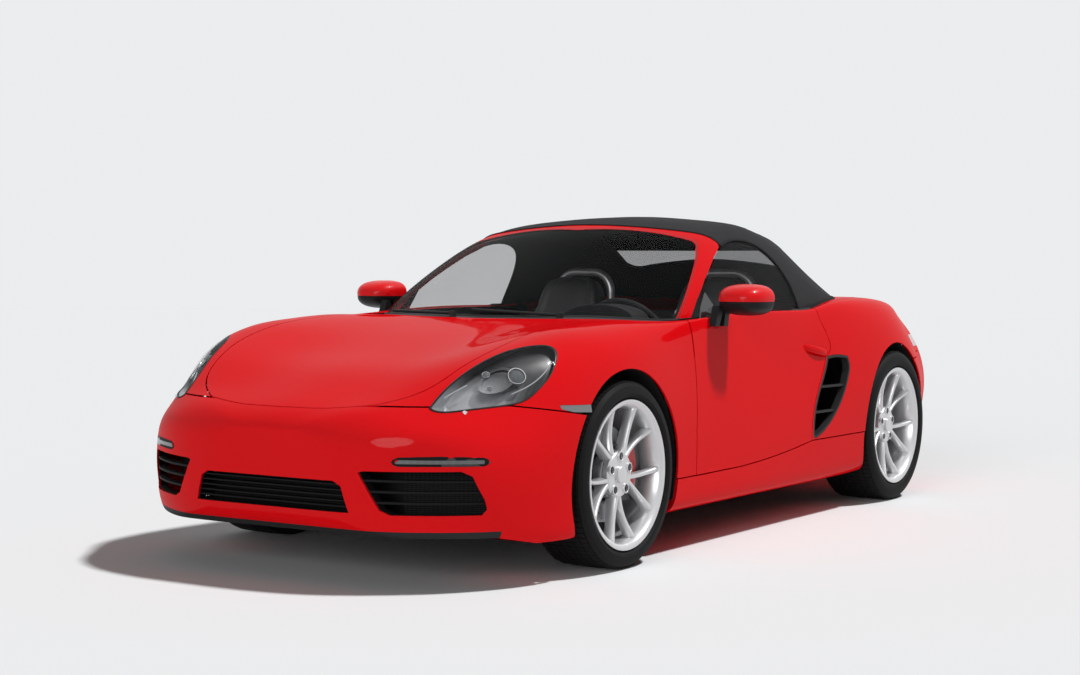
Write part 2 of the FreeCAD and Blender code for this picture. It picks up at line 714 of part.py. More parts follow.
day_lamps = common("day_lamps", lens_skin, both_fronts("day_lamp_fit", DAY_LAMP_LINES,
                                                       -2300, -1850, -1))
marker_lamps = common("marker_lamps", lens_skin,
                      side_prism("marker_fit", MARKER_LINES, -FAR, FAR, -1))
front_lamps = gather("front_lamps", day_lamps, marker_lamps)

# Doors: as thick as the whole door, with a slot for the glass

GLASS_FOOT_Z = 790
door_blank = common("door_blank", body_outer, door_span)
door_inside = zone("door_inside", -800, 700, 100, 1400, -sheet.door_inner_x, sheet.door_inner_x)
door_front_pocket = zone("door_front_pocket", -900, DOOR_THIN_Y, 100, 1400)
door_front_inside = zone("door_front_inside", -900, DOOR_THIN_Y, 100, 1400, -FLANGE_INNER_X,
                         FLANGE_INNER_X)
glass_slot_outer = feature("glass_slot_outer", solid_through(moved_inward(roof_rings, -3)))
glass_slot_inner = feature("glass_slot_inner", solid_through(moved_inward(roof_rings, 9)))
glass_slot_wall = cut("glass_slot_wall", glass_slot_outer, glass_slot_inner)
glass_slot_zone = zone("glass_slot_zone", -520, 385, GLASS_FOOT_Z - SEAT_GAP, 1400)
glass_slot = common("glass_slot", glass_slot_wall, glass_slot_zone)
left_half = zone("left_half", -2400, 2400, 0, 1500, 0, FAR)
right_half = zone("right_half", -2400, 2400, 0, 1500, -FAR, 0)

# Door hinges: two pins on each hinge pillar, between lugs of the door

HINGE_Y = DOOR_THIN_Y
HINGE_LOW = (832, 420)
HINGE_HIGH = (812, 700)
HINGE_STRAP = 20
LUG_HEIGHT = 18
KNUCKLE_RADIUS = 13
HINGE_PILLAR_X = sheet.door_inner_x - 12


def hinge_place(x, z):
    """Placement on the tilted hinge line of the left door."""
    lean = math.degrees(math.atan2(HINGE_HIGH[0] - HINGE_LOW[0], HINGE_HIGH[1] - HINGE_LOW[1]))
    return FreeCAD.Placement(at(x, HINGE_Y, z), FreeCAD.Rotation(V(0, 1, 0), lean))


def hinge_shapes(x, z):
    """Pin with its strap to the pillar, the door's two lugs, and the pocket in the door."""
    pin_radius = sheet.hinge_pin_radius
    half = HINGE_STRAP / 2
    top = half + 1 + LUG_HEIGHT
    pin = Part.makeCylinder(pin_radius, 2 * top, V(0, 0, -top))
    knuckle = Part.makeCylinder(KNUCKLE_RADIUS, HINGE_STRAP, V(0, 0, -half))
    reach = across(x) - HINGE_PILLAR_X + 8
    strap = Part.Face(Part.makePolygon([
        V(0, -KNUCKLE_RADIUS, -half), V(-6, -6, -half), V(-reach, -14, -half),
        V(-reach, -46, -half), V(0, -KNUCKLE_RADIUS, -half)])).extrude(V(0, 0, HINGE_STRAP))
    lugs = []
    for foot in (half + 1, -top):
        lugs.append(Part.makeCylinder(KNUCKLE_RADIUS, LUG_HEIGHT, V(0, 0, foot)))
    bore = Part.makeCylinder(pin_radius + sheet.pin_clearance, 2 * top + 2, V(0, 0, -top - 1))
    pocket = Part.makeCylinder(KNUCKLE_RADIUS + 4, HINGE_STRAP + 2, V(0, 0, -half - 1))
    place = hinge_place(x, z)
    shapes = [pin.fuse([knuckle, strap]), lugs[0].fuse(lugs[1]), bore.fuse(pocket)]
    for shape in shapes:
        shape.transformShape(place.Matrix)
    return shapes


hinge_sets = [hinge_shapes(*HINGE_LOW), hinge_shapes(*HINGE_HIGH)]
hinge_lugs = feature("hinge_lugs", hinge_sets[0][1].fuse(hinge_sets[1][1]))
hinge_ways = feature("hinge_ways", Part.makeCompound([hinge_sets[0][2], hinge_sets[1][2]]))
door_front_hollow = common("door_front_hollow", body_inner, door_front_pocket)
door_front_core = cut("door_front_core", door_front_hollow, hinge_lugs)
door_left_blank = common("door_left_blank", door_blank, left_half)
door_core_span = side_prism("door_core_span", DOOR_LINES, -FAR, FAR, -DOOR_RELIEF)
door_rim = cut("door_rim", zone("door_rim_zone", -900, 900, 0, 1500, 0, DOOR_RELIEF_X),
               door_core_span)
door_left = cut("door_left", door_left_blank, door_inside, door_front_inside, door_front_core,
                glass_slot, hinge_ways, door_rim)
door_right = mirrored("door_right", door_left)

# Sills, rear wings, deck and tail

HOUSE_MARGIN = 6
houses = []
for axle, radius, y, z in (
    ("front", sheet.front_arch_radius, FRONT_AXLE_Y, FRONT_AXLE_Z),
    ("rear", sheet.rear_arch_radius, REAR_AXLE_Y, REAR_AXLE_Z),
):
    houses.append(feature(f"{axle}_houses", Part.makeCylinder(
        radius + HOUSE_MARGIN, 2 * FAR, V(-FAR, y, z), V(1, 0, 0))))
front_houses, rear_houses = houses


SILL_POCKET_X = 838
sill_pocket = zone("sill_pocket", -770, -560, 271, 400, -SILL_POCKET_X, SILL_POCKET_X)


def sill(name, x0, x1):
    """Box sill of one side between the wheel arches."""
    span = side_prism(f"{name}_span", SILL_LINES, x0, x1)
    blank = common(f"{name}_blank", body_outer, span)
    return cut(name, blank, front_houses, rear_houses, door_room, sill_pocket)


SILL_INNER_X = sheet.tub_half_width + SEAT_GAP
sills = gather("sills", sill("sill_left", SILL_INNER_X, FAR), sill("sill_right", -FAR,
                                                                   -SILL_INNER_X))
wing_zone = zone("wing_zone", 250, 2400, 289, 1100)
wing_blank = common("wing_blank", upper_skin, wing_zone)
rear_quarters = cut("rear_quarters", wing_blank, door_room, sill_span_clear, rear_arches,
                    tail_span_clear, tail_lid_span_clear, cover_span_clear, vent_span, roof_outer,
                    rear_lid_bores, tail_lamp_span)
cover_blank = common("cover_blank", upper_skin, cover_span)
top_cover = cut("top_cover", cover_blank, roof_outer, door_room, tail_lid_span_clear)
rear_lid_panel = common("rear_lid_panel", upper_skin, tail_lid_span)
rear_lid = fuse("rear_lid", rear_lid_panel, rear_lid_pins)
tail_blank = common("tail_blank", upper_skin, tail_span)
rear_bumper = cut("rear_bumper", tail_blank, tail_lid_span_clear, rear_arches, tail_lamp_span,
                  diffuser_span)
TAILPIPE_X = 58
TAILPIPE_Z = 290
EXHAUST_GAP = 8
diffuser_fit = front_prism("diffuser_fit", DIFFUSER_LINES, 1950, 2300, -1)
diffuser_blank = common("diffuser_blank", upper_skin, diffuser_fit)
exhaust_holes = []
for side, x in (("left", TAILPIPE_X), ("right", -TAILPIPE_X)):
    exhaust_holes.append(feature(f"exhaust_hole_{side}", Part.makeCylinder(
        sheet.tailpipe_radius + EXHAUST_GAP, 500, V(x, TAIL_Y - 300, TAILPIPE_Z), V(0, 1, 0))))
diffuser = cut("diffuser", diffuser_blank, *exhaust_holes)
tail_lamp_fit = both_fronts("tail_lamp_fit", TAIL_LAMP_LINES, 1880, 2300, -1)
tail_lamps = common("tail_lamps", upper_skin, tail_lamp_fit)

# Windscreen, frame, side glass, roof and rear window

WINDSCREEN_LINES = [
    [(702, 868), (686, 946), (652, 1026), (614, 1098), (578, 1146)],
    [(578, 1146), (558, 1168), (512, 1188)],
    [(512, 1188), (372, 1215), (0, 1231)],
]
PILLAR_LINES = polygon([(-1000, 500), (-640, 780), (-540, 869), (-443, 948), (-325, 1027),
                        (-165, 1118), (-78, 1158), (-58, 1178), (-40, 1400), (-1000, 1400)])
HEADER_LINES = both_sides([[(0, -1000), (800, -1000)], [(800, -1000), (800, -45)],
                           [(800, -45), (590, -60)],
                           [(590, -60), (300, -112), (0, -132)]])
SIDE_GLASS_LINES = [
    [(-505, 790), (-502, 850)],
    [(-502, 850), (-438, 928), (-300, 1032), (-140, 1122), (-74, 1150)],
    [(-74, 1150), (30, 1177), (150, 1182), (262, 1156), (336, 1100), (368, 1030), (374, 960),
     (366, 880)],
    [(366, 880), (366, 790)],
    [(366, 790), (-505, 790)],
]
REAR_WINDOW_LINES = both_sides([
    [(0, 668), (330, 672)],
    [(330, 672), (400, 684), (425, 730)],
    [(425, 730), (430, 960)],
    [(430, 960), (405, 1010), (330, 1026)],
    [(330, 1026), (0, 1032)],
])

windscreen_paths = [[(-702, 868), (702, 868)]] + WINDSCREEN_LINES + [
    [(-x, z) for x, z in reversed(path)] for path in reversed(WINDSCREEN_LINES)
]
windscreen_span = front_prism("windscreen_span", windscreen_paths, -1100, -20)
windscreen_fit = front_prism("windscreen_fit", windscreen_paths, -1100, -20, -SEAT_GAP)
pillar_span = side_prism("pillar_span", PILLAR_LINES, -FAR, FAR)
pillar_clear = side_prism("pillar_clear", PILLAR_LINES, -FAR, FAR, SEAT_GAP)
header_span = plan_prism("header_span", HEADER_LINES, 400, 1500)
header_clear = plan_prism("header_clear", HEADER_LINES, 400, 1500, SEAT_GAP)
side_glass_span = side_prism("side_glass_span", SIDE_GLASS_LINES, -FAR, FAR)
side_glass_clear = side_prism("side_glass_clear", SIDE_GLASS_LINES, -FAR, FAR, sheet.seal_gap)
rear_window_span = plan_prism("rear_window_span", REAR_WINDOW_LINES, 800, 1500)
rear_window_fit = plan_prism("rear_window_fit", REAR_WINDOW_LINES, 800, 1500, -SEAT_GAP)

ROOF_SEAT_GAP = 6
body_seat = feature("body_seat", body_outer.Shape.translated(V(0, 0, SEAT_GAP)))
door_top_seat = feature("door_top_seat", body_outer.Shape.translated(V(0, 0, ROOF_SEAT_GAP)))
door_top_zone = zone("door_top_zone", DOOR_THIN_Y - GAP, 505, 600, 1300)
roof_seat = common("roof_seat", door_top_seat, door_top_zone)
windscreen_blank = common("windscreen_blank", glass_shell, windscreen_fit)
windscreen = cut("windscreen", windscreen_blank, body_seat)
frame_blank = common("frame_blank", frame_shell, pillar_span)
frame_front = common("frame_front", frame_blank, header_span)
windscreen_frame = cut("windscreen_frame", frame_front, windscreen_span, body_seat, roof_seat)
side_glass_blank = common("side_glass_blank", glass_shell, side_glass_span)
door_glass_left = common("door_glass_left", side_glass_blank, left_half)
door_glass_right = common("door_glass_right", side_glass_blank, right_half)
rear_window = common("rear_window", glass_shell, rear_window_fit)
fabric_zone = zone("fabric_zone", -300, 1400, 600, 1500)
fabric_blank = common("fabric_blank", fabric_shell, fabric_zone)
front_glass_zone = common("front_glass_zone", pillar_clear, header_clear)
PILLAR_FOOT_LINES = polygon([(-1000, 500), (-640, 780), (-540, 869), (-443, 948), (-325, 1027),
                             (-165, 1118), (-78, 1158), (-58, 1178), (-58, 1000), (-300, 700)])
pillar_foot_zone = side_prism("pillar_foot_zone", PILLAR_FOOT_LINES, -FAR, FAR, SEAT_GAP)
soft_top = cut("soft_top", fabric_blank, front_glass_zone, pillar_foot_zone, side_glass_clear,
               rear_window_span, roof_seat, body_seat)
doc.recompute()

# Floor tub: floor, firewall, boots, cabin side walls and hinge pillars

TUB_WALL = sheet.tub_wall
TUB_FLOOR_Z = sheet.floor_height
NOSE_FLOOR_Z = TUB_FLOOR_Z + 22
TAIL_FLOOR_Z = TUB_FLOOR_Z + 30
FIREWALL_Y = -850
BULKHEAD_Y = 480
BULKHEAD_TOP_Z = 880
FRONT_BOOT_Y = -1980
FRONT_BOOT_RIM_Z = 600
REAR_BOOT_Y = 1330
REAR_BOOT_END_Y = 2010
REAR_BOOT_FLOOR_Z = 360
REAR_BOOT_RIM_Z = 740
SHELF_Z = 700
TOWER_Z = 745
TOWER_X = 610
TOWER_Y = (-1320, -1200)
ENGINE_FRONT_Y = 540
LATCH_FOOT_Z = 346
QUARTER_TRIM_TOP_Z = 865
JACK_X = 610
JACK_PAD = 60
JACK_DROP = 12
JACK_FRONT_Y = -800
JACK_REAR_Y = 400


def block(name, x0, x1, y0, y1, z0, z1):
    """Plain block between real heights and half widths and drawn stations."""
    item = doc.addObject("Part::Box", name)
    item.Length = x1 - x0
    item.Width = along(y1) - along(y0)
    item.Height = z1 - z0
    item.Placement.Base = V(x0, along(y0), z0)
    return item


def block_pair(name, x0, x1, y0, y1, z0, z1):
    """The same block on both sides of the car."""
    return [
        block(f"{name}_left", x0, x1, y0, y1, z0, z1),
        block(f"{name}_right", -x1, -x0, y0, y1, z0, z1),
    ]


floor_top = TUB_FLOOR_Z + TUB_WALL
TUNNEL_TOP_Z = 330
UNDERTRAY_LINES = polygon([(-470, -2080), (470, -2080), (620, -1990), (735, -1850), (760, -1660),
                           (-760, -1660), (-735, -1850), (-620, -1990)])
cabin_x = sheet.tub_half_width
nose_x = sheet.nose_half_width
tail_x = sheet.tail_half_width
tub_parts = [
    block("cabin_floor", -cabin_x, cabin_x, FIREWALL_Y, BULKHEAD_Y, TUB_FLOOR_Z, floor_top),
    block("firewall", -cabin_x, cabin_x, FIREWALL_Y, FIREWALL_Y + TUB_WALL, TUB_FLOOR_Z, 850),
    block("bulkhead", -cabin_x, cabin_x, BULKHEAD_Y - TUB_WALL, BULKHEAD_Y, TUB_FLOOR_Z,
          BULKHEAD_TOP_Z),
    block("tunnel", -90, 90, FIREWALL_Y, BULKHEAD_Y, TUB_FLOOR_Z, TUNNEL_TOP_Z),
]
tub_parts += block_pair("hinge_pillar", cabin_x - TUB_WALL, HINGE_PILLAR_X, -760, -652, 300, 840)
tub_parts += block_pair("latch_pillar", cabin_x - TUB_WALL, HINGE_PILLAR_X, 400, BULKHEAD_Y,
                        LATCH_FOOT_Z, 850)
tub_parts += block_pair("footwell_side", cabin_x - TUB_WALL, cabin_x, FIREWALL_Y, -660,
                        TUB_FLOOR_Z, 840)
tub_parts += block_pair("quarter_trim", cabin_x - TUB_WALL, cabin_x, 400, 800, TUB_FLOOR_Z,
                        QUARTER_TRIM_TOP_Z)
for place, y in (("front", JACK_FRONT_Y), ("rear", JACK_REAR_Y)):
    tub_parts += block_pair(f"jack_pad_{place}", JACK_X - JACK_PAD / 2, JACK_X + JACK_PAD / 2, y,
                            y + JACK_PAD, TUB_FLOOR_Z - JACK_DROP, TUB_FLOOR_Z)
for number, hinge_set in enumerate(hinge_sets):
    pin = feature(f"hinge_pin_{number}", hinge_set[0])
    tub_parts += [pin, mirrored(f"hinge_pin_right_{number}", pin)]
floor_tub = fuse("floor_tub", *tub_parts)

# Boots and engine bay: flat panels seated on each other and on the cabin's walls

nose_back_y = FIREWALL_Y - SEAT_GAP
nose_front_y = FRONT_BOOT_Y + TUB_WALL + SEAT_GAP
nose_inner_x = nose_x - TUB_WALL - SEAT_GAP
nose_top = NOSE_FLOOR_Z + TUB_WALL + SEAT_GAP
front_boot_parts = [
    block("nose_floor", -nose_x, nose_x, FRONT_BOOT_Y, nose_back_y, NOSE_FLOOR_Z,
          NOSE_FLOOR_Z + TUB_WALL),
    block("nose_end", -nose_inner_x, nose_inner_x, FRONT_BOOT_Y, FRONT_BOOT_Y + TUB_WALL, nose_top,
          560),
    cut("undertray", plan_prism("undertray_plate", UNDERTRAY_LINES, NOSE_FLOOR_Z + 2,
                                NOSE_FLOOR_Z + 8),
        block("undertray_room", -nose_x - SEAT_GAP, nose_x + SEAT_GAP, FRONT_BOOT_Y - SEAT_GAP,
              nose_back_y, 0, 400)),
]
front_boot_parts += block_pair("nose_side", nose_x - TUB_WALL, nose_x, FRONT_BOOT_Y, nose_back_y,
                               nose_top, FRONT_BOOT_RIM_Z)
front_boot_parts += block_pair("tower_wall", nose_x - TUB_WALL, nose_x, *TOWER_Y,
                               FRONT_BOOT_RIM_Z + SEAT_GAP, TOWER_Z - SEAT_GAP)
front_boot_parts += block_pair("tower_top", nose_x - TUB_WALL, TOWER_X, *TOWER_Y, TOWER_Z,
                               TOWER_Z + TUB_WALL)
front_boot_tub = gather("front_boot_tub", *front_boot_parts)

bay_front_y = BULKHEAD_Y + SEAT_GAP
bay_back_y = REAR_BOOT_Y - SEAT_GAP
bay_inner_x = tail_x - TUB_WALL - SEAT_GAP
bay_top = TAIL_FLOOR_Z + TUB_WALL + SEAT_GAP
engine_bay = gather(
    "engine_bay",
    block("tail_floor", -tail_x, tail_x, bay_front_y, bay_back_y, TAIL_FLOOR_Z,
          TAIL_FLOOR_Z + TUB_WALL),
    block("engine_shelf", -bay_inner_x, bay_inner_x, bay_front_y, 1000, SHELF_Z,
          SHELF_Z + TUB_WALL),
    *block_pair("tail_side", tail_x - TUB_WALL, tail_x, bay_front_y, bay_back_y, bay_top,
                REAR_BOOT_RIM_Z),
)

boot_wall_y = REAR_BOOT_Y + TUB_WALL + SEAT_GAP
boot_top = REAR_BOOT_FLOOR_Z + TUB_WALL + SEAT_GAP
rear_boot_tub = gather(
    "rear_boot_tub",
    block("boot_front", -tail_x, tail_x, REAR_BOOT_Y, REAR_BOOT_Y + TUB_WALL, TAIL_FLOOR_Z,
          REAR_BOOT_RIM_Z),
    block("boot_floor", -tail_x, tail_x, boot_wall_y, REAR_BOOT_END_Y, REAR_BOOT_FLOOR_Z,
          REAR_BOOT_FLOOR_Z + TUB_WALL),
    block("boot_end", -bay_inner_x, bay_inner_x, REAR_BOOT_END_Y - TUB_WALL, REAR_BOOT_END_Y,
          boot_top, REAR_BOOT_RIM_Z),
    *block_pair("boot_side", tail_x - TUB_WALL, tail_x, boot_wall_y, REAR_BOOT_END_Y, boot_top,
                REAR_BOOT_RIM_Z),
)

# Engine and exhaust

engine = doc.addObject("Part::Box", "engine")
engine.setExpression("Length", "Sizes.engine_width")
engine.setExpression("Width", "Sizes.engine_length")
engine.setExpression("Height", "Sizes.engine_height")
engine.Placement.Base = V(-sheet.engine_width / 2, along(ENGINE_FRONT_Y),
                          TAIL_FLOOR_Z + TUB_WALL + SEAT_GAP)

TAILPIPE_WALL = 3
TAILPIPE_END_Y = TAIL_Y - 12
SILENCER_SIZE = (600, 220, 130)
SILENCER_Y = 1500
SILENCER_Z = 215


def tailpipe(name, x):
    """One round exhaust tip, running back from the silencer."""
    start = along(SILENCER_Y) + SILENCER_SIZE[1]
    outer = doc.addObject("Part::Cylinder", f"{name}_outer")
    outer.setExpression("Radius", "Sizes.tailpipe_radius")
    bore = doc.addObject("Part::Cylinder", f"{name}_bore")
    bore.setExpression("Radius", f"Sizes.tailpipe_radius - {TAILPIPE_WALL}")
    for item in (outer, bore):
        item.Height = TAILPIPE_END_Y - start
        item.Placement = FreeCAD.Placement(V(x, start, TAILPIPE_Z),
                                           FreeCAD.Rotation(V(1, 0, 0), -90))
    return cut(name, outer, bore)


silencer = doc.addObject("Part::Box", "silencer")
silencer.Length, silencer.Width, silencer.Height = SILENCER_SIZE
silencer.Placement.Base = V(-SILENCER_SIZE[0] / 2, along(SILENCER_Y), SILENCER_Z)
hanger = doc.addObject("Part::Box", "silencer_hanger")
hanger.Length, hanger.Width = 60, SILENCER_SIZE[1]
hanger.Height = REAR_BOOT_FLOOR_Z - SEAT_GAP - SILENCER_Z
hanger.Placement.Base = V(-30, along(SILENCER_Y), SILENCER_Z)
tailpipes = fuse("tailpipes", silencer, hanger, tailpipe("tailpipe_left", TAILPIPE_X),
                 tailpipe("tailpipe_right", -TAILPIPE_X))

# Roll hoops behind the seats

HOOP_RADIUS = 19
HOOP_HALF_WIDTH = 140
HOOP_TOP_Z = 1050
HOOP_BEND = 90


def roll_hoop(name, x):
    """Bent tube standing on the bulkhead behind a seat."""
    foot = BULKHEAD_TOP_Z + SEAT_GAP
    y = along(BULKHEAD_Y) - TUB_WALL / 2
    low = HOOP_TOP_Z - HOOP_BEND
    turn = HOOP_BEND * math.sqrt(0.5)
    left, right = x - HOOP_HALF_WIDTH, x + HOOP_HALF_WIDTH
    near, far = left + HOOP_BEND, right - HOOP_BEND
    path = Part.Wire([
        Part.makeLine(V(left, y, foot), V(left, y, low)),
        Part.Arc(V(left, y, low), V(near - turn, y, low + turn), V(near, y, HOOP_TOP_Z)).toShape(),
        Part.makeLine(V(near, y, HOOP_TOP_Z), V(far, y, HOOP_TOP_Z)),
        Part.Arc(V(far, y, HOOP_TOP_Z), V(far + turn, y, low + turn), V(right, y, low)).toShape(),
        Part.makeLine(V(right, y, low), V(right, y, foot)),
    ])
    ring = Part.Wire([Part.makeCircle(HOOP_RADIUS, V(left, y, foot), V(0, 0, 1))])
    return feature(name, path.makePipeShell([ring], True, True))


roll_hoops = gather("roll_hoops", roll_hoop("roll_hoop_left", sheet.seat_x),
                    roll_hoop("roll_hoop_right", -sheet.seat_x))

# Dashboard, seats and steering wheel

STEERING_WHEEL_Y = -395
STEERING_WHEEL_Z = 770
STEERING_TILT = 65
DASHBOARD_PROFILE = polygon([(-780, 560), (-800, 812), (-700, 842), (-560, 856), (-500, 838),
                             (-480, 800), (-500, 700), (-530, 600), (-600, 540)])
CONSOLE_PROFILE = polygon([(-640, 330.3), (-600, 640), (-500, 620), (-380, 520), (-100, 430),
                           (380, 420), (400, 330.3)])
dashboard_half = cabin_x - TUB_WALL - SEAT_GAP
dashboard_bar = side_prism("dashboard_bar", DASHBOARD_PROFILE, -dashboard_half, dashboard_half)
console = side_prism("console", CONSOLE_PROFILE, -105, 105)
COLUMN_START = -75
column_turn = FreeCAD.Rotation(V(1, 0, 0), -STEERING_TILT)
column_place = FreeCAD.Placement(
    V(sheet.steering_wheel_x, along(STEERING_WHEEL_Y), STEERING_WHEEL_Z), column_turn
)
shroud = doc.addObject("Part::Cylinder", "column_shroud")
shroud.Radius = 36
shroud.Height = 110
shroud.Placement = column_place.multiply(
    FreeCAD.Placement(V(0, 0, COLUMN_START - SEAT_GAP - 110), FreeCAD.Rotation())
)
dashboard = fuse("dashboard", dashboard_bar, console, shroud)

SEAT_PROFILE = [
    [(-190, 176.3), (-210, 300)],
    [(-210, 300), (-215, 370), (-150, 395)],
    [(-150, 395), (60, 372), (180, 380)],
    [(180, 380), (290, 640), (330, 800), (350, 960)],
    [(350, 960), (380, 1020), (430, 1010)],
    [(430, 1010), (450, 900), (420, 700), (340, 400), (300, 300)],
    [(300, 300), (290, 176.3)],
    [(290, 176.3), (-190, 176.3)],
]
seat_items = []
for side, middle in (("left", sheet.seat_x), ("right", -sheet.seat_x)):
    half = sheet.seat_width / 2
    seat_items.append(side_prism(f"front_seat_{side}", SEAT_PROFILE, middle - half,
                                 middle + half))
seats = gather("seats", *seat_items)

steering_rim = doc.addObject("Part::Torus", "steering_rim")
steering_rim.setExpression("Radius1", "Sizes.steering_wheel_radius")
steering_rim.setExpression("Radius2", "Sizes.steering_grip_radius")
steering_hub = doc.addObject("Part::Cylinder", "steering_hub")
steering_hub.Radius = 62
steering_hub.Height = 40
steering_hub.Placement.Base = V(0, 0, -34)
steering_bar = doc.addObject("Part::Box", "steering_bar")
steering_bar.setExpression("Length", "2 * Sizes.steering_wheel_radius")
steering_bar.Width = 44
steering_bar.Height = 14
steering_bar.Placement.Base = V(-sheet.steering_wheel_radius, -22, -14)
steering_leg = doc.addObject("Part::Box", "steering_leg")
steering_leg.Length = 40
steering_leg.setExpression("Width", "Sizes.steering_wheel_radius")
steering_leg.Height = 14
steering_leg.Placement.Base = V(-20, 0, -14)
steering_column = doc.addObject("Part::Cylinder", "steering_column")
steering_column.Radius = 24
steering_column.Height = 45
steering_column.Placement.Base = V(0, 0, COLUMN_START)
steering_wheel = fuse("steering_wheel", steering_rim, steering_hub, steering_bar, steering_leg,
                      steering_column)
steering_wheel.Placement = column_place

# Mirrors

MIRROR_Z = 948
MIRROR_INNER_X = 792
MIRROR_STATIONS = ((-345, 1, 0.97), (-372, 1, 1), (-420, 0.95, 0.95), (-462, 0.8, 0.78),
                   (-492, 0.5, 0.46), (-500, 0.25, 0.22))
MIRROR_HALF_HEIGHT = 62
MIRROR_RIM_POINTS = 16
MIRROR_SQUARENESS = 0.72
MIRROR_LEGS = (
    polygon([(-515, 845), (-480, 845), (-452, 900), (-462, 925), (-482, 925)]),
    polygon([(-440, 845), (-405, 845), (-392, 900), (-402, 925), (-425, 925)]),
)
MIRROR_LEG_X = (796, 826)


def mirror_rim(y, wide, high):
    """Rounded outline of the mirror's head at one station."""
    half = (sheet.mirror_reach - MIRROR_INNER_X) / 2
    points = []
    for number in range(MIRROR_RIM_POINTS):
        turn = 2 * math.pi * number / MIRROR_RIM_POINTS
        x = math.copysign(abs(math.cos(turn)) ** MIRROR_SQUARENESS, math.cos(turn))
        z = math.copysign(abs(math.sin(turn)) ** MIRROR_SQUARENESS, math.sin(turn))
        points.append(V(MIRROR_INNER_X + half + half * wide * x, along(y),
                        MIRROR_Z + MIRROR_HALF_HEIGHT * high * z))
    curve = Part.BSplineCurve()
    curve.interpolate(Points=points, PeriodicFlag=True)
    return Part.Wire(curve.toShape())


def mirror_body(name, side):
    """Door mirror: a bowl-shaped head with a flat glass side, on two legs."""
    shape = Part.makeLoft([mirror_rim(*station) for station in MIRROR_STATIONS], True, False)
    legs = []
    for leg_lines in MIRROR_LEGS:
        wire = outline(leg_lines, lambda y, z: V(MIRROR_LEG_X[0], along(y), above(z)))
        legs.append(Part.Face(wire).extrude(V(MIRROR_LEG_X[1] - MIRROR_LEG_X[0], 0, 0)))
    shape = shape.fuse(legs).cut([body_seat.Shape, glass_slot_outer.Shape])
    if side < 0:
        shape = shape.mirror(V(0, 0, 0), V(1, 0, 0))
    return feature(name, shape)


# Wheels and tyres


def revolved_body(name, profile):
    """Body turned about the X axis from expressions of its profile's points (axial, radial)."""
    body = doc.addObject("PartDesign::Body", name)
    sketch = body.newObject("Sketcher::SketchObject", f"{name}_profile")
    plane = next(item for item in body.Origin.OriginFeatures if item.Role == "XY_Plane")
    sketch.AttachmentSupport = [(plane, "")]
    sketch.MapMode = "FlatFace"
    draw_polygon(sketch, profile)
    turn = body.newObject("PartDesign::Revolution", f"{name}_turn")
    turn.Profile = sketch
    turn.ReferenceAxis = (sketch, ["H_Axis"])
    turn.Angle = 360
    doc.recompute()
    return body


def draw_polygon(sketch, profile):
    """Closed polygon whose corners are bound to expressions of the sheet."""
    count = len(profile)
    for number in range(count):
        start = V(number + 1, 10 + number * number, 0)
        end = V(number + 2, 11 + (number + 1) ** 2, 0)
        sketch.addGeometry(Part.LineSegment(start, end), False)
    for number in range(count):
        sketch.addConstraint(Sketcher.Constraint("Coincident", number, 2,
                                                 (number + 1) % count, 1))
    for number, (axial, radial) in enumerate(profile):
        for kind, expression in (("DistanceX", axial), ("DistanceY", radial)):
            index = sketch.addConstraint(Sketcher.Constraint(kind, -1, 1, number, 1, 1.0))
            sketch.setExpression(f"Constraints[{index}]", expression)


TYRE_SHOULDER = 14
TREAD_INSET = 28


def tyre_body(name, radius, width, rim_width):
    """Tyre with its bead on the wheel's seat, bulged sidewalls and a flat tread."""
    seat = "Sizes.rim_seat_radius + 0.3"
    bulge = f"Sizes.rim_seat_radius + 0.42 * (Sizes.{radius} - Sizes.rim_seat_radius)"
    shoulder = f"Sizes.{radius} - {TYRE_SHOULDER}"
    bead = f"Sizes.{rim_width} / 2 - 9"
    profile = [
        (f"-({bead})", seat),
        (f"-({bead})", f"{seat} + 18"),
        (f"-Sizes.{width} / 2", bulge),
        (f"-Sizes.{width} / 2 + 7", shoulder),
        (f"-Sizes.{width} / 2 + {TREAD_INSET}", f"Sizes.{radius}"),
        (f"Sizes.{width} / 2 - {TREAD_INSET}", f"Sizes.{radius}"),
        (f"Sizes.{width} / 2 - 7", shoulder),
        (f"Sizes.{width} / 2", bulge),
        (bead, f"{seat} + 18"),
        (bead, seat),
    ]
    return revolved_body(name, profile)


def spoke_line():
    """Lean of a spoke from its pair's middle in degrees, and how far it passes from the axle."""
    foot_angle = math.radians(sheet.spoke_foot_angle)
    tip_angle = math.radians(sheet.spoke_tip_angle)
    tip_radius = sheet.rim_seat_radius - sheet.rim_wall
    along_pair = tip_radius * math.cos(tip_angle) - sheet.spoke_foot_radius * math.cos(foot_angle)
    beside_pair = tip_radius * math.sin(tip_angle) - sheet.spoke_foot_radius * math.sin(foot_angle)
    lean = math.atan2(beside_pair, along_pair)
    offset = sheet.spoke_foot_radius * math.sin(foot_angle - lean)
    return math.degrees(lean), offset


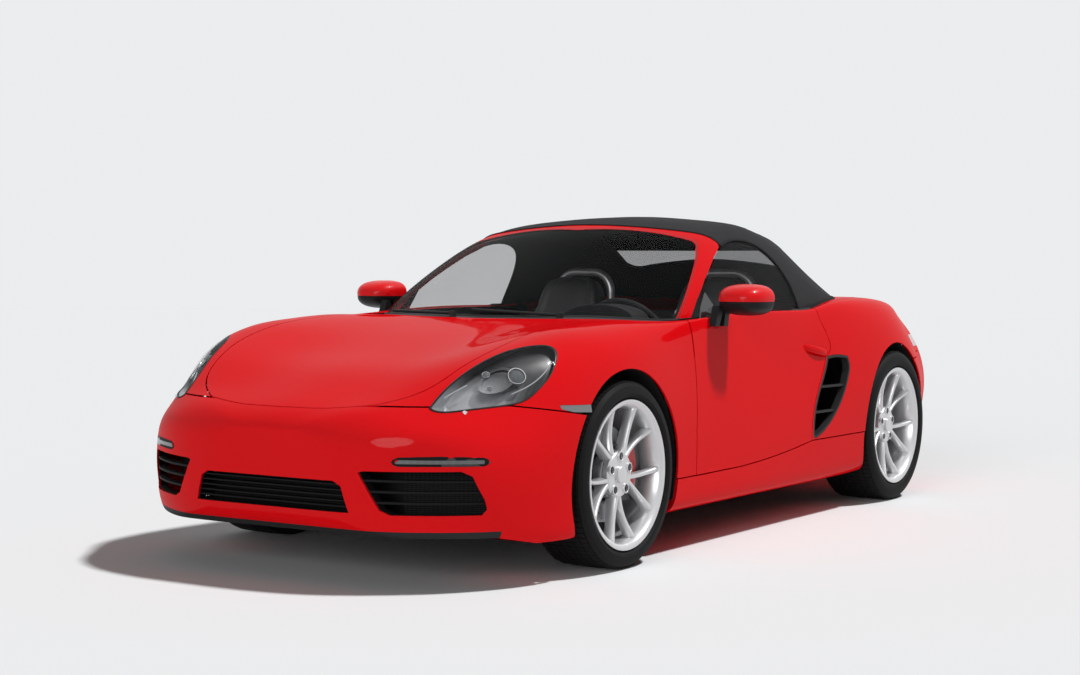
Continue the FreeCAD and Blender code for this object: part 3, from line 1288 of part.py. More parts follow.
def rim_body(name, rim_width):
    """Light alloy wheel: barrel, hub plate and five pairs of dished spokes."""
    edge = f"Sizes.{rim_width} / 2"
    seat = "Sizes.rim_seat_radius"
    wall = "Sizes.rim_wall"
    profile = [
        (f"-({edge})", "Sizes.rim_flange_radius"),
        (f"-({edge}) + 8", "Sizes.rim_flange_radius"),
        (f"-({edge}) + 8", seat),
        (f"-({edge}) + 60", f"{seat} - 9"),
        (f"{edge} - 40", f"{seat} - 9"),
        (f"{edge} - 8", seat),
        (f"{edge} - 8", "Sizes.rim_flange_radius"),
        (edge, "Sizes.rim_flange_radius"),
        (edge, f"{seat} - {wall}"),
        (f"{edge} - 40", f"{seat} - 9 - {wall}"),
        (f"-({edge}) + 60", f"{seat} - 9 - {wall}"),
        (f"-({edge})", f"{seat} - {wall}"),
    ]
    body = revolved_body(f"{name}_barrel", profile)
    hub = doc.addObject("Part::Cylinder", f"{name}_hub")
    hub.setExpression("Radius", "Sizes.hub_face_radius")
    hub.Height = HUB_PLATE
    hub.Placement = FreeCAD.Placement(V(sheet.wheel_offset, 0, 0),
                                      FreeCAD.Rotation(V(0, 1, 0), 90))
    cap = doc.addObject("Part::Cylinder", f"{name}_cap")
    cap.Radius = 33
    cap.Height = HUB_PLATE + 14
    cap.Placement = hub.Placement
    pieces = [body, hub, cap]
    width = getattr(sheet, rim_width)
    tip_x = width / 2 - sheet.spoke_dish
    tip_y = sheet.rim_seat_radius - sheet.rim_wall - 4
    face_points = [
        V(sheet.wheel_offset + 2, 52, 0),
        V(sheet.wheel_offset + HUB_PLATE, 52, 0),
        V(tip_x - 8, 150, 0),
        V(tip_x + 2, tip_y + 5, 0),
        V(tip_x - 30, tip_y - 1.5, 0),
        V(tip_x - 34, 150, 0),
    ]
    half = sheet.spoke_width / 2
    lean, offset = spoke_line()
    spoke_face = Part.Face(Part.makePolygon(face_points + face_points[:1]))
    for number in range(SPOKE_PAIRS):
        for hand in (-1, 1):
            turned = spoke_face.extrude(V(0, 0, 2 * half))
            turned.translate(V(0, 0, hand * offset - half))
            turned.rotate(V(0, 0, 0), V(1, 0, 0), number * 360 / SPOKE_PAIRS + hand * lean)
            pieces.append(feature(f"{name}_spoke_{number}_{hand + 1}", turned))
    whole = fuse(f"{name}_whole", *pieces)
    recesses = []
    for number in range(SPOKE_PAIRS):
        recess = Part.makeCylinder(sheet.bolt_recess_radius, 40,
                                   V(sheet.wheel_offset + 8, sheet.bolt_circle_radius, 0),
                                   V(1, 0, 0))
        recess.rotate(V(0, 0, 0), V(1, 0, 0), (number + 0.5) * 360 / SPOKE_PAIRS)
        recesses.append(recess)
    bolts = feature(f"{name}_recesses", Part.makeCompound(recesses))
    return cut(f"{name}_rim", whole, bolts)


HUB_PLATE = 26
SPOKE_PAIRS = 5
DISC_HAT_DEPTH = 48


def brake_disc(name):
    """Brake disc with its bell, seated on the back of the hub face."""
    bell = doc.addObject("Part::Cylinder", f"{name}_bell")
    bell.setExpression("Radius", "Sizes.disc_hat_radius")
    bell.Height = DISC_HAT_DEPTH
    plate = doc.addObject("Part::Cylinder", f"{name}_plate")
    plate.setExpression("Radius", "Sizes.disc_radius")
    plate.setExpression("Height", "Sizes.disc_thickness")
    turn = FreeCAD.Rotation(V(0, 1, 0), 90)
    bell.Placement = FreeCAD.Placement(V(sheet.wheel_offset - DISC_HAT_DEPTH, 0, 0), turn)
    plate.Placement = FreeCAD.Placement(
        V(sheet.wheel_offset - DISC_HAT_DEPTH - sheet.disc_thickness + 8, 0, 0), turn)
    return fuse(name, bell, plate)


def corner(side):
    """Sign and half turn that put a wheel drawn for the left on either side."""
    return 1 if side == "left" else -1


def placed(name, item, x, y, z, side):
    """Copy of a wheel part on the left, or its mirror image on the right."""
    shape = item.Shape.copy()
    if side == "right":
        shape = shape.mirror(V(0, 0, 0), V(1, 0, 0))
    shape.translate(V(x * corner(side), y, z))
    return feature(name, shape)


wheel_nodes = {}
for axle, y, z, x in (("front", FRONT_AXLE_Y, FRONT_AXLE_Z, FRONT_WHEEL_X),
                      ("rear", REAR_AXLE_Y, REAR_AXLE_Z, REAR_WHEEL_X)):
    tyre = tyre_body(f"{axle}_tyre", f"{axle}_tyre_radius", f"{axle}_tyre_width",
                     f"{axle}_rim_width")
    rim = rim_body(f"{axle}_wheel", f"{axle}_rim_width")
    disc = brake_disc(f"{axle}_disc")
    turning = fuse(f"{axle}_rim_and_disc", rim, disc)
    for side in ("left", "right"):
        wheel_nodes[f"tyre_{axle}_{side}"] = placed(f"tyre_{axle}_{side}", tyre, x, y, z, side)
        wheel_nodes[f"wheel_{axle}_{side}"] = placed(f"wheel_{axle}_{side}", turning, x, y, z,
                                                     side)

# Hubs, calipers and suspension arms

CALIPER_HALF_HEIGHT = 105
UPRIGHT_REACH = 150
BALL_RADIUS = 14
STRUT_X = 560
DAMPER_X = 590
STUD_RADIUS = 8
STUD_LENGTH = 12


def upright(caliper_side):
    """Wheel carrier of the left side about its own wheel centre, with the brake caliper."""
    disc_face = sheet.wheel_offset - DISC_HAT_DEPTH + 8
    disc_back = disc_face - sheet.disc_thickness
    gap = sheet.caliper_clearance
    spindle = Part.makeCylinder(44, 86, V(disc_back - gap - 86, 0, 0), V(1, 0, 0))
    stub = Part.makeCylinder(30, gap - SEAT_GAP, V(disc_back - gap, 0, 0), V(1, 0, 0))
    post_reach = UPRIGHT_REACH - STUD_LENGTH
    post = Part.makeBox(40, 56, 2 * post_reach, V(disc_back - gap - 40, -28, -post_reach))
    stud = Part.makeCylinder(STUD_RADIUS, 2 * UPRIGHT_REACH,
                             V(sheet.steer_axis_x - FRONT_WHEEL_X, 0, -UPRIGHT_REACH))
    reach = sheet.disc_radius + 26
    ring = Part.makeCylinder(reach, 200, V(-140, 0, 0), V(1, 0, 0)).cut(
        Part.makeCylinder(sheet.disc_hat_radius + 12, 200, V(-140, 0, 0), V(1, 0, 0)))
    sector = Part.makeBox(300, 260, 2 * CALIPER_HALF_HEIGHT,
                          V(-150, 0 if caliper_side > 0 else -260, -CALIPER_HALF_HEIGHT))
    span = Part.makeBox(disc_face - disc_back + 2 * gap + 56, 600, 600,
                        V(disc_back - gap - 34, -300, -300))
    slot = Part.makeCylinder(sheet.disc_radius + gap, disc_face - disc_back + 2 * gap,
                             V(disc_back - gap, 0, 0), V(1, 0, 0))
    caliper = ring.common(sector).common(span).cut(slot)
    arm = Part.makeBox(40, sheet.disc_hat_radius + 40, 60,
                       V(disc_back - gap - 40,
                         0 if caliper_side > 0 else -sheet.disc_hat_radius - 40, -30))
    return spindle.fuse([stub, post, stud, caliper, arm]).removeSplitter()


def carrier(axle_x, y, z, side, caliper_side):
    """Wheel carrier put at a wheel of either side."""
    shape = upright(caliper_side)
    if side == "right":
        shape = shape.mirror(V(0, 0, 0), V(1, 0, 0))
    shape.translate(V(axle_x * corner(side), y, z))
    return shape


knuckle_left, knuckle_right = [
    feature(f"knuckle_{side}", carrier(FRONT_WHEEL_X, FRONT_AXLE_Y, FRONT_AXLE_Z, side, 1))
    for side in ("left", "right")
]


def rod(start, end, radius):
    """Round bar between two points."""
    direction = end - start
    return Part.makeCylinder(radius, direction.Length, start, direction)


def beside(half_width):
    """Room taken by the tub between two heights of the wheel houses."""
    reach = half_width + SEAT_GAP
    return Part.makeBox(2 * reach, 2 * FAR + 2000, 2000, V(-reach, -2200, 0))


def front_links():
    """Arms and strut of the left front wheel, ending at the steering axis."""
    ball = V(sheet.steer_axis_x, FRONT_AXLE_Y, FRONT_AXLE_Z)
    low = ball - V(0, 0, UPRIGHT_REACH + BALL_RADIUS + SEAT_GAP)
    high = ball + V(0, 0, UPRIGHT_REACH + BALL_RADIUS + SEAT_GAP)
    inner = V(nose_x - 10, FRONT_AXLE_Y, low.z + 30)
    knee = V(STRUT_X, FRONT_AXLE_Y, high.z + 6)
    strut_top = V(knee.x, knee.y, TOWER_Z - SEAT_GAP)
    parts = [
        rod(inner + V(0, 150, 0), low, 10),
        rod(inner + V(0, -110, 0), low, 10),
        Part.makeSphere(BALL_RADIUS, low),
        Part.makeSphere(BALL_RADIUS, high),
        rod(high, knee, 13),
        rod(V(nose_x - 10, FRONT_AXLE_Y, knee.z), knee, 13),
        rod(knee - V(0, 0, 20), strut_top, 26),
    ]
    return parts[0].fuse(parts[1:]).cut(beside(nose_x))


def rear_links():
    """Carrier, caliper, arms and damper of the left rear wheel."""
    base = carrier(REAR_WHEEL_X, REAR_AXLE_Y, REAR_AXLE_Z, "left", -1)
    centre = V(REAR_WHEEL_X - 60, REAR_AXLE_Y, REAR_AXLE_Z)
    inner = V(tail_x - 10, REAR_AXLE_Y, REAR_AXLE_Z)
    damper = V(DAMPER_X, REAR_AXLE_Y, REAR_AXLE_Z)
    parts = [
        rod(centre + V(0, 20, -120), inner + V(0, 120, -120), 14),
        rod(centre + V(0, -20, -120), inner + V(0, -200, -120), 14),
        rod(centre + V(0, 0, 120), inner + V(0, 0, 130), 14),
        rod(damper + V(0, 0, 110), damper + V(0, 0, 340), 26),
        rod(V(inner.x, inner.y, inner.z + 320), damper + V(0, 0, 320), 18),
    ]
    return base.fuse(parts).cut(beside(tail_x))


front_links_left = feature("front_links_left", front_links())
rear_links_left = feature("rear_links_left", rear_links())
suspension = gather(
    "suspension",
    front_links_left,
    mirrored("front_links_right", front_links_left),
    rear_links_left,
    mirrored("rear_links_right", rear_links_left),
)

# Wheel house liners

LINER_WALL = 4
LINER_GAP = 1
LINER_FOOT_Z = 210


def liner(name, radius, axle_y, axle_z, inner_x, outer_x, sign):
    """Arched wall over a wheel, just behind the edge of the wheel arch."""
    start = V(inner_x if sign > 0 else -outer_x, axle_y, axle_z)
    outer = Part.makeCylinder(radius + LINER_GAP + LINER_WALL, outer_x - inner_x, start,
                              V(1, 0, 0))
    hollow = Part.makeCylinder(radius + LINER_GAP, outer_x - inner_x, start, V(1, 0, 0))
    below = Part.makeBox(2 * FAR, 1200, LINER_FOOT_Z, V(-FAR, axle_y - 600, 0))
    strut_way = Part.makeCylinder(44, 900, V(sign * STRUT_X, axle_y, 300), V(0, 0, 1))
    skin_room = feature(f"{name}_skin_room", body_inner.Shape)
    shape = outer.cut([hollow, below, strut_way]).common(skin_room.Shape)
    return feature(name, shape)


LINER_OUTER_X = 852
wheel_liners = gather(
    "wheel_liners",
    *[
        liner(f"{axle}_liner_{side}", radius, y, z, inner, LINER_OUTER_X, sign)
        for axle, radius, y, z, inner in (
            ("front", sheet.front_arch_radius, FRONT_AXLE_Y, FRONT_AXLE_Z, nose_x + SEAT_GAP),
            ("rear", sheet.rear_arch_radius, REAR_AXLE_Y, REAR_AXLE_Z, tail_x + SEAT_GAP),
        )
        for side, sign in (("left", 1), ("right", -1))
    ],
)

# Grilles, vents, wipers and lamps that are left

SLAT = 7
LOUVRE_HEIGHTS = (292, 328, 364)
CENTRE_BARS = (276, 294, 312, 330, 348)
VENT_SLATS = (455, 560)


def louvres():
    """Horizontal slats with their frames in the three front intakes."""
    depth_skin = body_inner.Shape
    deep = depth_skin.translated(V(0, 34, 0))
    wall = depth_skin.cut(deep)
    pieces = []
    for sign in (1, -1):
        paths = SIDE_INTAKE_LINES if sign > 0 else mirror_outline(SIDE_INTAKE_LINES)
        rim = front_prism(f"intake_rim_{sign + 1}", paths, -2300, -1850, 9).Shape
        bore = front_prism(f"intake_bore_{sign + 1}", paths, -2300, -1850, -1).Shape
        frame = rim.cut(bore).common(wall)
        slats = [Part.makeBox(460, 400, SLAT, V(300 if sign > 0 else -760, NOSE_Y, above(height)))
                 for height in LOUVRE_HEIGHTS]
        bars = Part.makeCompound(slats).common(rim).common(wall)
        pieces.append(frame.fuse(bars.Solids))
    rim = front_prism("centre_rim", CENTRE_INTAKE_LINES, -2300, -2050, 9).Shape
    bore = front_prism("centre_bore", CENTRE_INTAKE_LINES, -2300, -2050, -1).Shape
    frame = rim.cut(bore).common(wall)
    slats = [Part.makeBox(720, 200, 4, V(-360, NOSE_Y, above(height))) for height in CENTRE_BARS]
    bars = Part.makeCompound(slats).common(rim).common(wall)
    pieces.append(frame.fuse(bars.Solids))
    return feature("front_grilles", Part.makeCompound(pieces))


front_grilles = louvres()


def side_vent(name, x0, x1):
    """Black surround and two slats in the intake ahead of a rear wheel."""
    wall = body_outer.Shape.cut(feature(f"{name}_depth", solid_through(
        moved_inward(body_rings, 30))).Shape)
    rim = side_prism(f"{name}_rim", SIDE_VENT_LINES, x0, x1, -1).Shape
    bore = side_prism(f"{name}_bore", SIDE_VENT_LINES, x0, x1, -12).Shape
    frame = rim.cut(bore).common(wall)
    recess = body_inner.Shape
    slats = [Part.makeBox(x1 - x0, 500, 9, V(x0, along(250), above(height)))
             for height in VENT_SLATS]
    bars = Part.makeCompound(slats).common(rim).common(wall).common(recess)
    return feature(name, frame.fuse(bars.Solids))


side_vents = gather("side_vents", side_vent("side_vent_left", 600, FAR),
                    side_vent("side_vent_right", -FAR, -600))

WIPER_ARMS = (
    ((330, -862, 887), (-80, -868, 901)),
    ((-150, -900, 887), (-540, -772, 888)),
)
WIPER_RADIUS = 6
PIVOT_RADIUS = 14
PIVOT_DEPTH = 20


def wiper(number, start, end):
    """Wiper arm and blade lying just above the foot of the windscreen."""
    foot = at(*start)
    pivot = rod(foot - V(0, 0, PIVOT_DEPTH), foot + V(0, 0, 8), PIVOT_RADIUS)
    arm = rod(foot, at(*end), WIPER_RADIUS)
    whole = pivot.fuse(arm).cut([body_seat.Shape, glass_slot_outer.Shape])
    return feature(f"wiper_{number}", whole)


wipers = gather("wipers", *[wiper(n, start, end) for n, (start, end) in enumerate(WIPER_ARMS)])

headlamp_left = lamp_body("headlamp_left")
headlamp_right = mirrored("headlamp_right", headlamp_left)
headlamps = gather("headlamps", headlamp_left, headlamp_right)
mirror_left = mirror_body("mirror_left", 1)
mirror_right = mirror_body("mirror_right", -1)
doc.recompute()

# Write every sub-part

NODES = {
    "front_bumper": front_bumper, "front_lip": front_lip, "front_grilles": front_grilles,
    "front_fenders": front_fenders, "headlamps": headlamps,
    "headlamp_lenses": headlamp_lenses, "front_lamps": front_lamps, "front_lid": front_lid,
    "cowl_panel": cowl_panel, "wipers": wipers, "windscreen_frame": windscreen_frame,
    "windscreen": windscreen, "floor_tub": floor_tub, "front_boot_tub": front_boot_tub,
    "rear_boot_tub": rear_boot_tub, "engine_bay": engine_bay, "sills": sills,
    "dashboard": dashboard, "seats": seats, "steering_wheel": steering_wheel,
    "roll_hoops": roll_hoops,
    "soft_top": soft_top, "rear_window": rear_window, "rear_quarters": rear_quarters,
    "side_vents": side_vents, "top_cover": top_cover, "rear_lid": rear_lid,
    "rear_bumper": rear_bumper, "tail_lamps": tail_lamps, "diffuser": diffuser,
    "tailpipes": tailpipes, "engine": engine, "wheel_liners": wheel_liners,
    "suspension": suspension, "door_left": door_left, "door_right": door_right,
    "door_glass_left": door_glass_left, "door_glass_right": door_glass_right,
    "mirror_left": mirror_left, "mirror_right": mirror_right,
    "knuckle_left": knuckle_left, "knuckle_right": knuckle_right,
}
NODES.update(wheel_nodes)


def write_parts():
    """Check every object and write one STEP file per sub-part."""
    broken = [item.Name for item in doc.Objects
              if "Invalid" in item.State or "Error" in item.State]
    if broken:
        raise RuntimeError(f"failed objects: {broken}")
    os.makedirs("parts", exist_ok=True)
    for name, item in NODES.items():
        shape = item.Shape
        if shape.isNull() or not shape.isValid() or not shape.Solids:
            raise RuntimeError(f"{name} has no valid solid")
        item.Label = name
        shape.exportStep(f"parts/{name}.step")
        print(name, len(shape.Solids), round(shape.Volume / 1e6, 3))


write_parts()
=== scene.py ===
"""Dressed model of a red two-door convertible car with its fabric roof closed.

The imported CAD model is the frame. The classes below make what a plain solid leaves out: wheels and
tyres, roof cloth, lamps, grilles, mirrors, trim, seats and the cabin, each in real metres.
"""

import json
import logging
import math
from dataclasses import dataclass, field
from enum import Enum
from typing import Iterable, Sequence

import bmesh
import bpy
from mathutils import Matrix, Vector
from mathutils.bvhtree import BVHTree

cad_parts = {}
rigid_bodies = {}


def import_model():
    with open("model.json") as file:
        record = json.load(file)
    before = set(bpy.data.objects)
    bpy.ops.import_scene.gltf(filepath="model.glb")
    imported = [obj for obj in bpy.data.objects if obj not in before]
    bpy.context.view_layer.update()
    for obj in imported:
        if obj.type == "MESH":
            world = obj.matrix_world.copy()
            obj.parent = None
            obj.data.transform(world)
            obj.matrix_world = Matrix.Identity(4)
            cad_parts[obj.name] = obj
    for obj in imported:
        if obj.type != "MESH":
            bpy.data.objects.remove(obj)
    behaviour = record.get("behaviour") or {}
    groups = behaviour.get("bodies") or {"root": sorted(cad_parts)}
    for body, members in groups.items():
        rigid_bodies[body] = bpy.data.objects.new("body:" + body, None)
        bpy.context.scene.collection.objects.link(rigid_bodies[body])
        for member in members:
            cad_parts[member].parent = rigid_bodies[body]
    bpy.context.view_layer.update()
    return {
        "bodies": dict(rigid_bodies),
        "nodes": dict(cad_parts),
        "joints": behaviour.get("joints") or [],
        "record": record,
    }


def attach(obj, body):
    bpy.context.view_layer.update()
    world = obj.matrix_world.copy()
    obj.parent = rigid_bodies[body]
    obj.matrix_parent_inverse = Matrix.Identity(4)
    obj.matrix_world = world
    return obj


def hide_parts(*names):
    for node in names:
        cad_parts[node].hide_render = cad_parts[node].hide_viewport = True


LOG = logging.getLogger("convertible")
DISC_FACE_X = 0.011
Point = Sequence[float]


class Side(Enum):
    """The two sides of the car, by the sign of X."""

    LEFT = 1
    RIGHT = -1

    @property
    def word(self) -> str:
        """Name of the side in node and body names."""
        return self.name.lower()


class Axle(Enum):
    """The two axles: name, wheel plane from the centre line, station and height."""

    FRONT = ("front", 0.7575, -1.2595, 0.336)
    REAR = ("rear", 0.758, 1.2155, 0.347)

    @property
    def word(self) -> str:
        """Name of the axle in node and body names."""
        return self.value[0]

    def centre(self, side: Side) -> Vector:
        """Middle of a wheel on the given side."""
        return Vector((self.value[1] * side.value, self.value[2], self.value[3]))


class Wire:
    """A shader socket on which Python arithmetic adds Math nodes."""

    def __init__(self, tree: bpy.types.NodeTree, socket: bpy.types.NodeSocket) -> None:
        """Wrap a socket of a node tree."""
        self.tree = tree
        self.socket = socket

    def _math(self, operation: str, *values: "Wire | float") -> "Wire":
        """Add one Math node.

        Args:
            operation: name of the node's operation.
            values: its inputs in order, sockets or numbers.

        Returns:
            The node's output.
        """
        node = self.tree.nodes.new("ShaderNodeMath")
        node.operation = operation
        for slot, value in zip(node.inputs, values):
            if isinstance(value, Wire):
                self.tree.links.new(value.socket, slot)
            else:
                slot.default_value = value
        return Wire(self.tree, node.outputs[0])

    def __add__(self, other: "Wire | float") -> "Wire":
        """Sum."""
        return self._math("ADD", self, other)

    def __radd__(self, other: float) -> "Wire":
        """Reflected sum."""
        return self._math("ADD", other, self)

    def __sub__(self, other: "Wire | float") -> "Wire":
        """Difference."""
        return self._math("SUBTRACT", self, other)

    def __rsub__(self, other: float) -> "Wire":
        """Reflected difference."""
        return self._math("SUBTRACT", other, self)

    def __mul__(self, other: "Wire | float") -> "Wire":
        """Product."""
        return self._math("MULTIPLY", self, other)

    def __rmul__(self, other: float) -> "Wire":
        """Reflected product."""
        return self._math("MULTIPLY", other, self)

    def above(self, limit: "Wire | float") -> "Wire":
        """1 where this is greater than the limit."""
        return self._math("GREATER_THAN", self, limit)

    def below(self, limit: "Wire | float") -> "Wire":
        """1 where this is less than the limit."""
        return self._math("LESS_THAN", self, limit)

    def sine(self) -> "Wire":
        """Sine of this."""
        return self._math("SINE", self)

    def held(self) -> "Wire":
        """This kept between 0 and 1."""
        return self._math("MINIMUM", self._math("MAXIMUM", self, 0.0), 1.0)

    def size(self) -> "Wire":
        """Absolute value of this."""
        return self._math("ABSOLUTE", self)


class Shader:
    """One material with a Principled shader and short calls for its other nodes."""

    def __init__(self, name: str) -> None:
        """Start a material with a bare Principled shader."""
        self.material = bpy.data.materials.new(name)
        self.material.use_nodes = True
        self.tree = self.material.node_tree
        self.surface = self.tree.nodes["Principled BSDF"]

    def node(self, kind: str, settings: dict | None = None, **inputs: object) -> bpy.types.Node:
        """Add a node, set its settings first and then its sockets.

        Args:
            kind: the node's type.
            settings: attributes of the node; the key stops gives a ramp's stops.
            inputs: socket names, with underscores for spaces, to values or Wires.

        Returns:
            The new node.
        """
        made = self.tree.nodes.new(kind)
        for key, value in (settings or {}).items():
            if key == "stops":
                ramp = made.color_ramp
                while len(ramp.elements) < len(value):
                    ramp.elements.new(1.0)
                for element, (place, colour) in zip(ramp.elements, value):
                    element.position = place
                    element.color = (*colour, 1.0)
            else:
                setattr(made, key, value)
        for key, value in inputs.items():
            slot = made.inputs[key.replace("_", " ")]
            if isinstance(value, Wire):
                self.tree.links.new(value.socket, slot)
            elif hasattr(value, "links"):
                self.tree.links.new(value, slot)
            else:
                slot.default_value = value
        return made

    def wire(self, socket: bpy.types.NodeSocket) -> Wire:
        """Wrap one of this material's sockets."""
        return Wire(self.tree, socket)

    def place(self) -> bpy.types.NodeSocket:
        """Object coordinates."""
        return self.node("ShaderNodeTexCoord").outputs["Object"]

    def axes(self) -> tuple[Wire, Wire, Wire]:
        """The three Object coordinates apart."""
        parts = self.node("ShaderNodeSeparateXYZ", Vector=self.place())
        return tuple(self.wire(parts.outputs[i]) for i in range(3))

    def noise(self, scale: float, detail: float = 2.0, stretch: Point = (1, 1, 1)) -> Wire:
        """Noise over the object's own coordinates.

        Args:
            scale: grains per metre.
            detail: octaves.
            stretch: scale along each axis.

        Returns:
            The noise's value, about 0.5 on average.
        """
        mapped = self.node("ShaderNodeMapping", Vector=self.place(), Scale=tuple(stretch))
        made = self.node("ShaderNodeTexNoise", Vector=mapped.outputs[0], Scale=scale,
                         Detail=detail)
        return self.wire(made.outputs["Fac"])

    def mix(self, share: Wire | float, first: Point, second: Point) -> bpy.types.NodeSocket:
        """Colour between two colours."""
        made = self.node("ShaderNodeMix", {"data_type": "RGBA"})
        if isinstance(share, Wire):
            self.tree.links.new(share.socket, made.inputs[0])
        else:
            made.inputs[0].default_value = share
        for slot, colour in ((made.inputs[6], first), (made.inputs[7], second)):
            if hasattr(colour, "links"):
                self.tree.links.new(colour, slot)
            else:
                slot.default_value = (*colour, 1.0)
        return made.outputs[2]

    def bump(self, height: Wire, strength: float, distance: float) -> None:
        """Feed a height to the surface's normal."""
        made = self.node("ShaderNodeBump", Height=height, Strength=strength, Distance=distance)
        self.tree.links.new(made.outputs[0], self.surface.inputs["Normal"])

    def put(self, name: str, value: object) -> None:
        """Set or link one socket of the surface."""
        slot = self.surface.inputs[name]
        if isinstance(value, Wire):
            self.tree.links.new(value.socket, slot)
        elif hasattr(value, "links"):
            self.tree.links.new(value, slot)
        elif isinstance(value, tuple) and len(value) == 3:
            slot.default_value = (*value, 1.0)
        else:
            slot.default_value = value


@dataclass(frozen=True)
class Paint:
    """Solid gloss car paint under clear lacquer."""

    name: str = "gloss_red_paint"
    colour: tuple[float, float, float] = (0.70, 0.0035, 0.0065)
    shade: tuple[float, float, float] = (0.65, 0.003, 0.0055)
    peel_depth: float = 0.00004

    def build(self) -> bpy.types.Material:
        """Make the material."""
        shader = Shader(self.name)
        cloud = shader.noise(1.4, 3.0)
        shader.put("Base Color", shader.mix(cloud, self.shade, self.colour))
        shader.put("Roughness", shader.noise(60.0) * 0.06 + 0.32)
        shader.put("Coat Weight", 0.22)
        shader.put("Coat Roughness", 0.03)
        shader.put("Coat IOR", 1.42)
        shader.put("Specular IOR Level", 0.0)
        shader.bump(shader.noise(420.0), 0.12, self.peel_depth)
        return shader.material


@dataclass(frozen=True)
class DoorSkin(Paint):
    """The same paint outside a door, and black grained trim on the side towards the cabin."""

    name: str = "door_paint_and_trim"
    trim_x: float = 0.748
    black: tuple[float, float, float] = (0.010, 0.010, 0.011)

    def build(self) -> bpy.types.Material:
        """Make the material."""
        shader = Shader(self.name)
        x, y, z = shader.axes()
        outside = x.size().above(self.trim_x)
        cloud = shader.noise(1.4, 3.0)
        painted = shader.mix(cloud, self.shade, self.colour)
        shader.put("Base Color", shader.mix(outside, self.black, painted))
        shader.put("Roughness", shader.noise(60.0) * 0.06 + (0.62 - outside * 0.30))
        shader.put("Coat Weight", outside * 0.22)
        shader.put("Coat Roughness", 0.03)
        shader.put("Coat IOR", 1.42)
        shader.put("Specular IOR Level", 0.0)
        shader.bump(shader.noise(420.0), 0.12, self.peel_depth)
        return shader.material


@dataclass(frozen=True)
class MirrorShell:
    """Painted upper half and black lower half of a door mirror, parted at one height."""

    name: str = "mirror_shell"
    parting: float = 0.942
    colour: tuple[float, float, float] = (0.70, 0.0035, 0.0065)
    black: tuple[float, float, float] = (0.012, 0.012, 0.013)

    def build(self) -> bpy.types.Material:
        """Make the material."""
        shader = Shader(self.name)
        x, y, z = shader.axes()
        share = z.above(self.parting)
        shader.put("Base Color", shader.mix(share, self.black, self.colour))
        shader.put("Roughness", shader.noise(60.0) * 0.06 + 0.34)
        shader.put("Coat Weight", share * 0.22)
        shader.put("Coat Roughness", 0.03)
        shader.put("Coat IOR", 1.42)
        shader.put("Specular IOR Level", 0.1)
        shader.bump(shader.noise(420.0), 0.12, 0.00005)
        return shader.material


@dataclass(frozen=True)
class DayLamp:
    """Grey light bar between black edges in the bumper, and the grey side markers."""

    name: str = "day_lamp"
    low: float = 0.4265
    high: float = 0.4385
    marker_y: float = -1.70
    grey: tuple[float, float, float] = (0.16, 0.165, 0.17)
    black: tuple[float, float, float] = (0.008, 0.008, 0.009)

    def build(self) -> bpy.types.Material:
        """Make the material."""
        shader = Shader(self.name)
        x, y, z = shader.axes()
        bar = z.above(self.low) * z.below(self.high)
        marker = y.above(self.marker_y)
        ribs = (x * 300.0).sine() * 0.04
        share = bar * (1.0 - marker) * 0.6 + marker * 1.6 + ribs
        shader.put("Base Color", shader.mix(share, self.black, self.grey))
        shader.put("Roughness", shader.noise(40.0) * 0.08 + 0.2)
        shader.put("Coat Weight", 0.3)
        shader.bump(ribs + shader.noise(200.0) * 0.2, 0.1, 0.0001)
        return shader.material


@dataclass(frozen=True)
class LampBowl:
    """Inside of a headlamp: fluted silver low and inboard, near black above and outboard."""

    name: str = "lamp_bowl"
    dark: tuple[float, float, float] = (0.012, 0.012, 0.013)
    silver: tuple[float, float, float] = (0.42, 0.43, 0.45)

    def build(self) -> bpy.types.Material:
        """Make the material."""
        shader = Shader(self.name)
        x, y, z = shader.axes()
        low = ((0.705 - z) * 16.0).held()
        inboard = ((0.735 - x.size()) * 12.0).held()
        flutes = (x * 520.0).sine() * 0.03
        share = (low * inboard + flutes * low + shader.noise(18.0) * 0.08).held()
        shader.put("Base Color", shader.mix(share, self.dark, self.silver))
        shader.put("Metallic", share * 0.5)
        shader.put("Roughness", shader.noise(30.0) * 0.1 + 0.25)
        shader.bump(flutes * 4.0, 0.1, 0.0004)
        return shader.material


@dataclass(frozen=True)
class CoolerCore:
    """Fine dark fins of the coolers behind the air intakes."""

    name: str = "cooler_core"
    dark: tuple[float, float, float] = (0.004, 0.004, 0.004)
    light: tuple[float, float, float] = (0.022, 0.022, 0.024)

    def build(self) -> bpy.types.Material:
        """Make the material."""
        shader = Shader(self.name)
        x, y, z = shader.axes()
        fins = (z * 900.0).sine() * 0.5 + (x * 500.0).sine() * 0.2 + 0.5
        shader.put("Base Color", shader.mix(fins, self.dark, self.light))
        shader.put("Roughness", shader.noise(40.0) * 0.1 + 0.6)
        shader.put("Specular IOR Level", 0.1)
        shader.bump(fins, 0.4, 0.001)
        return shader.material


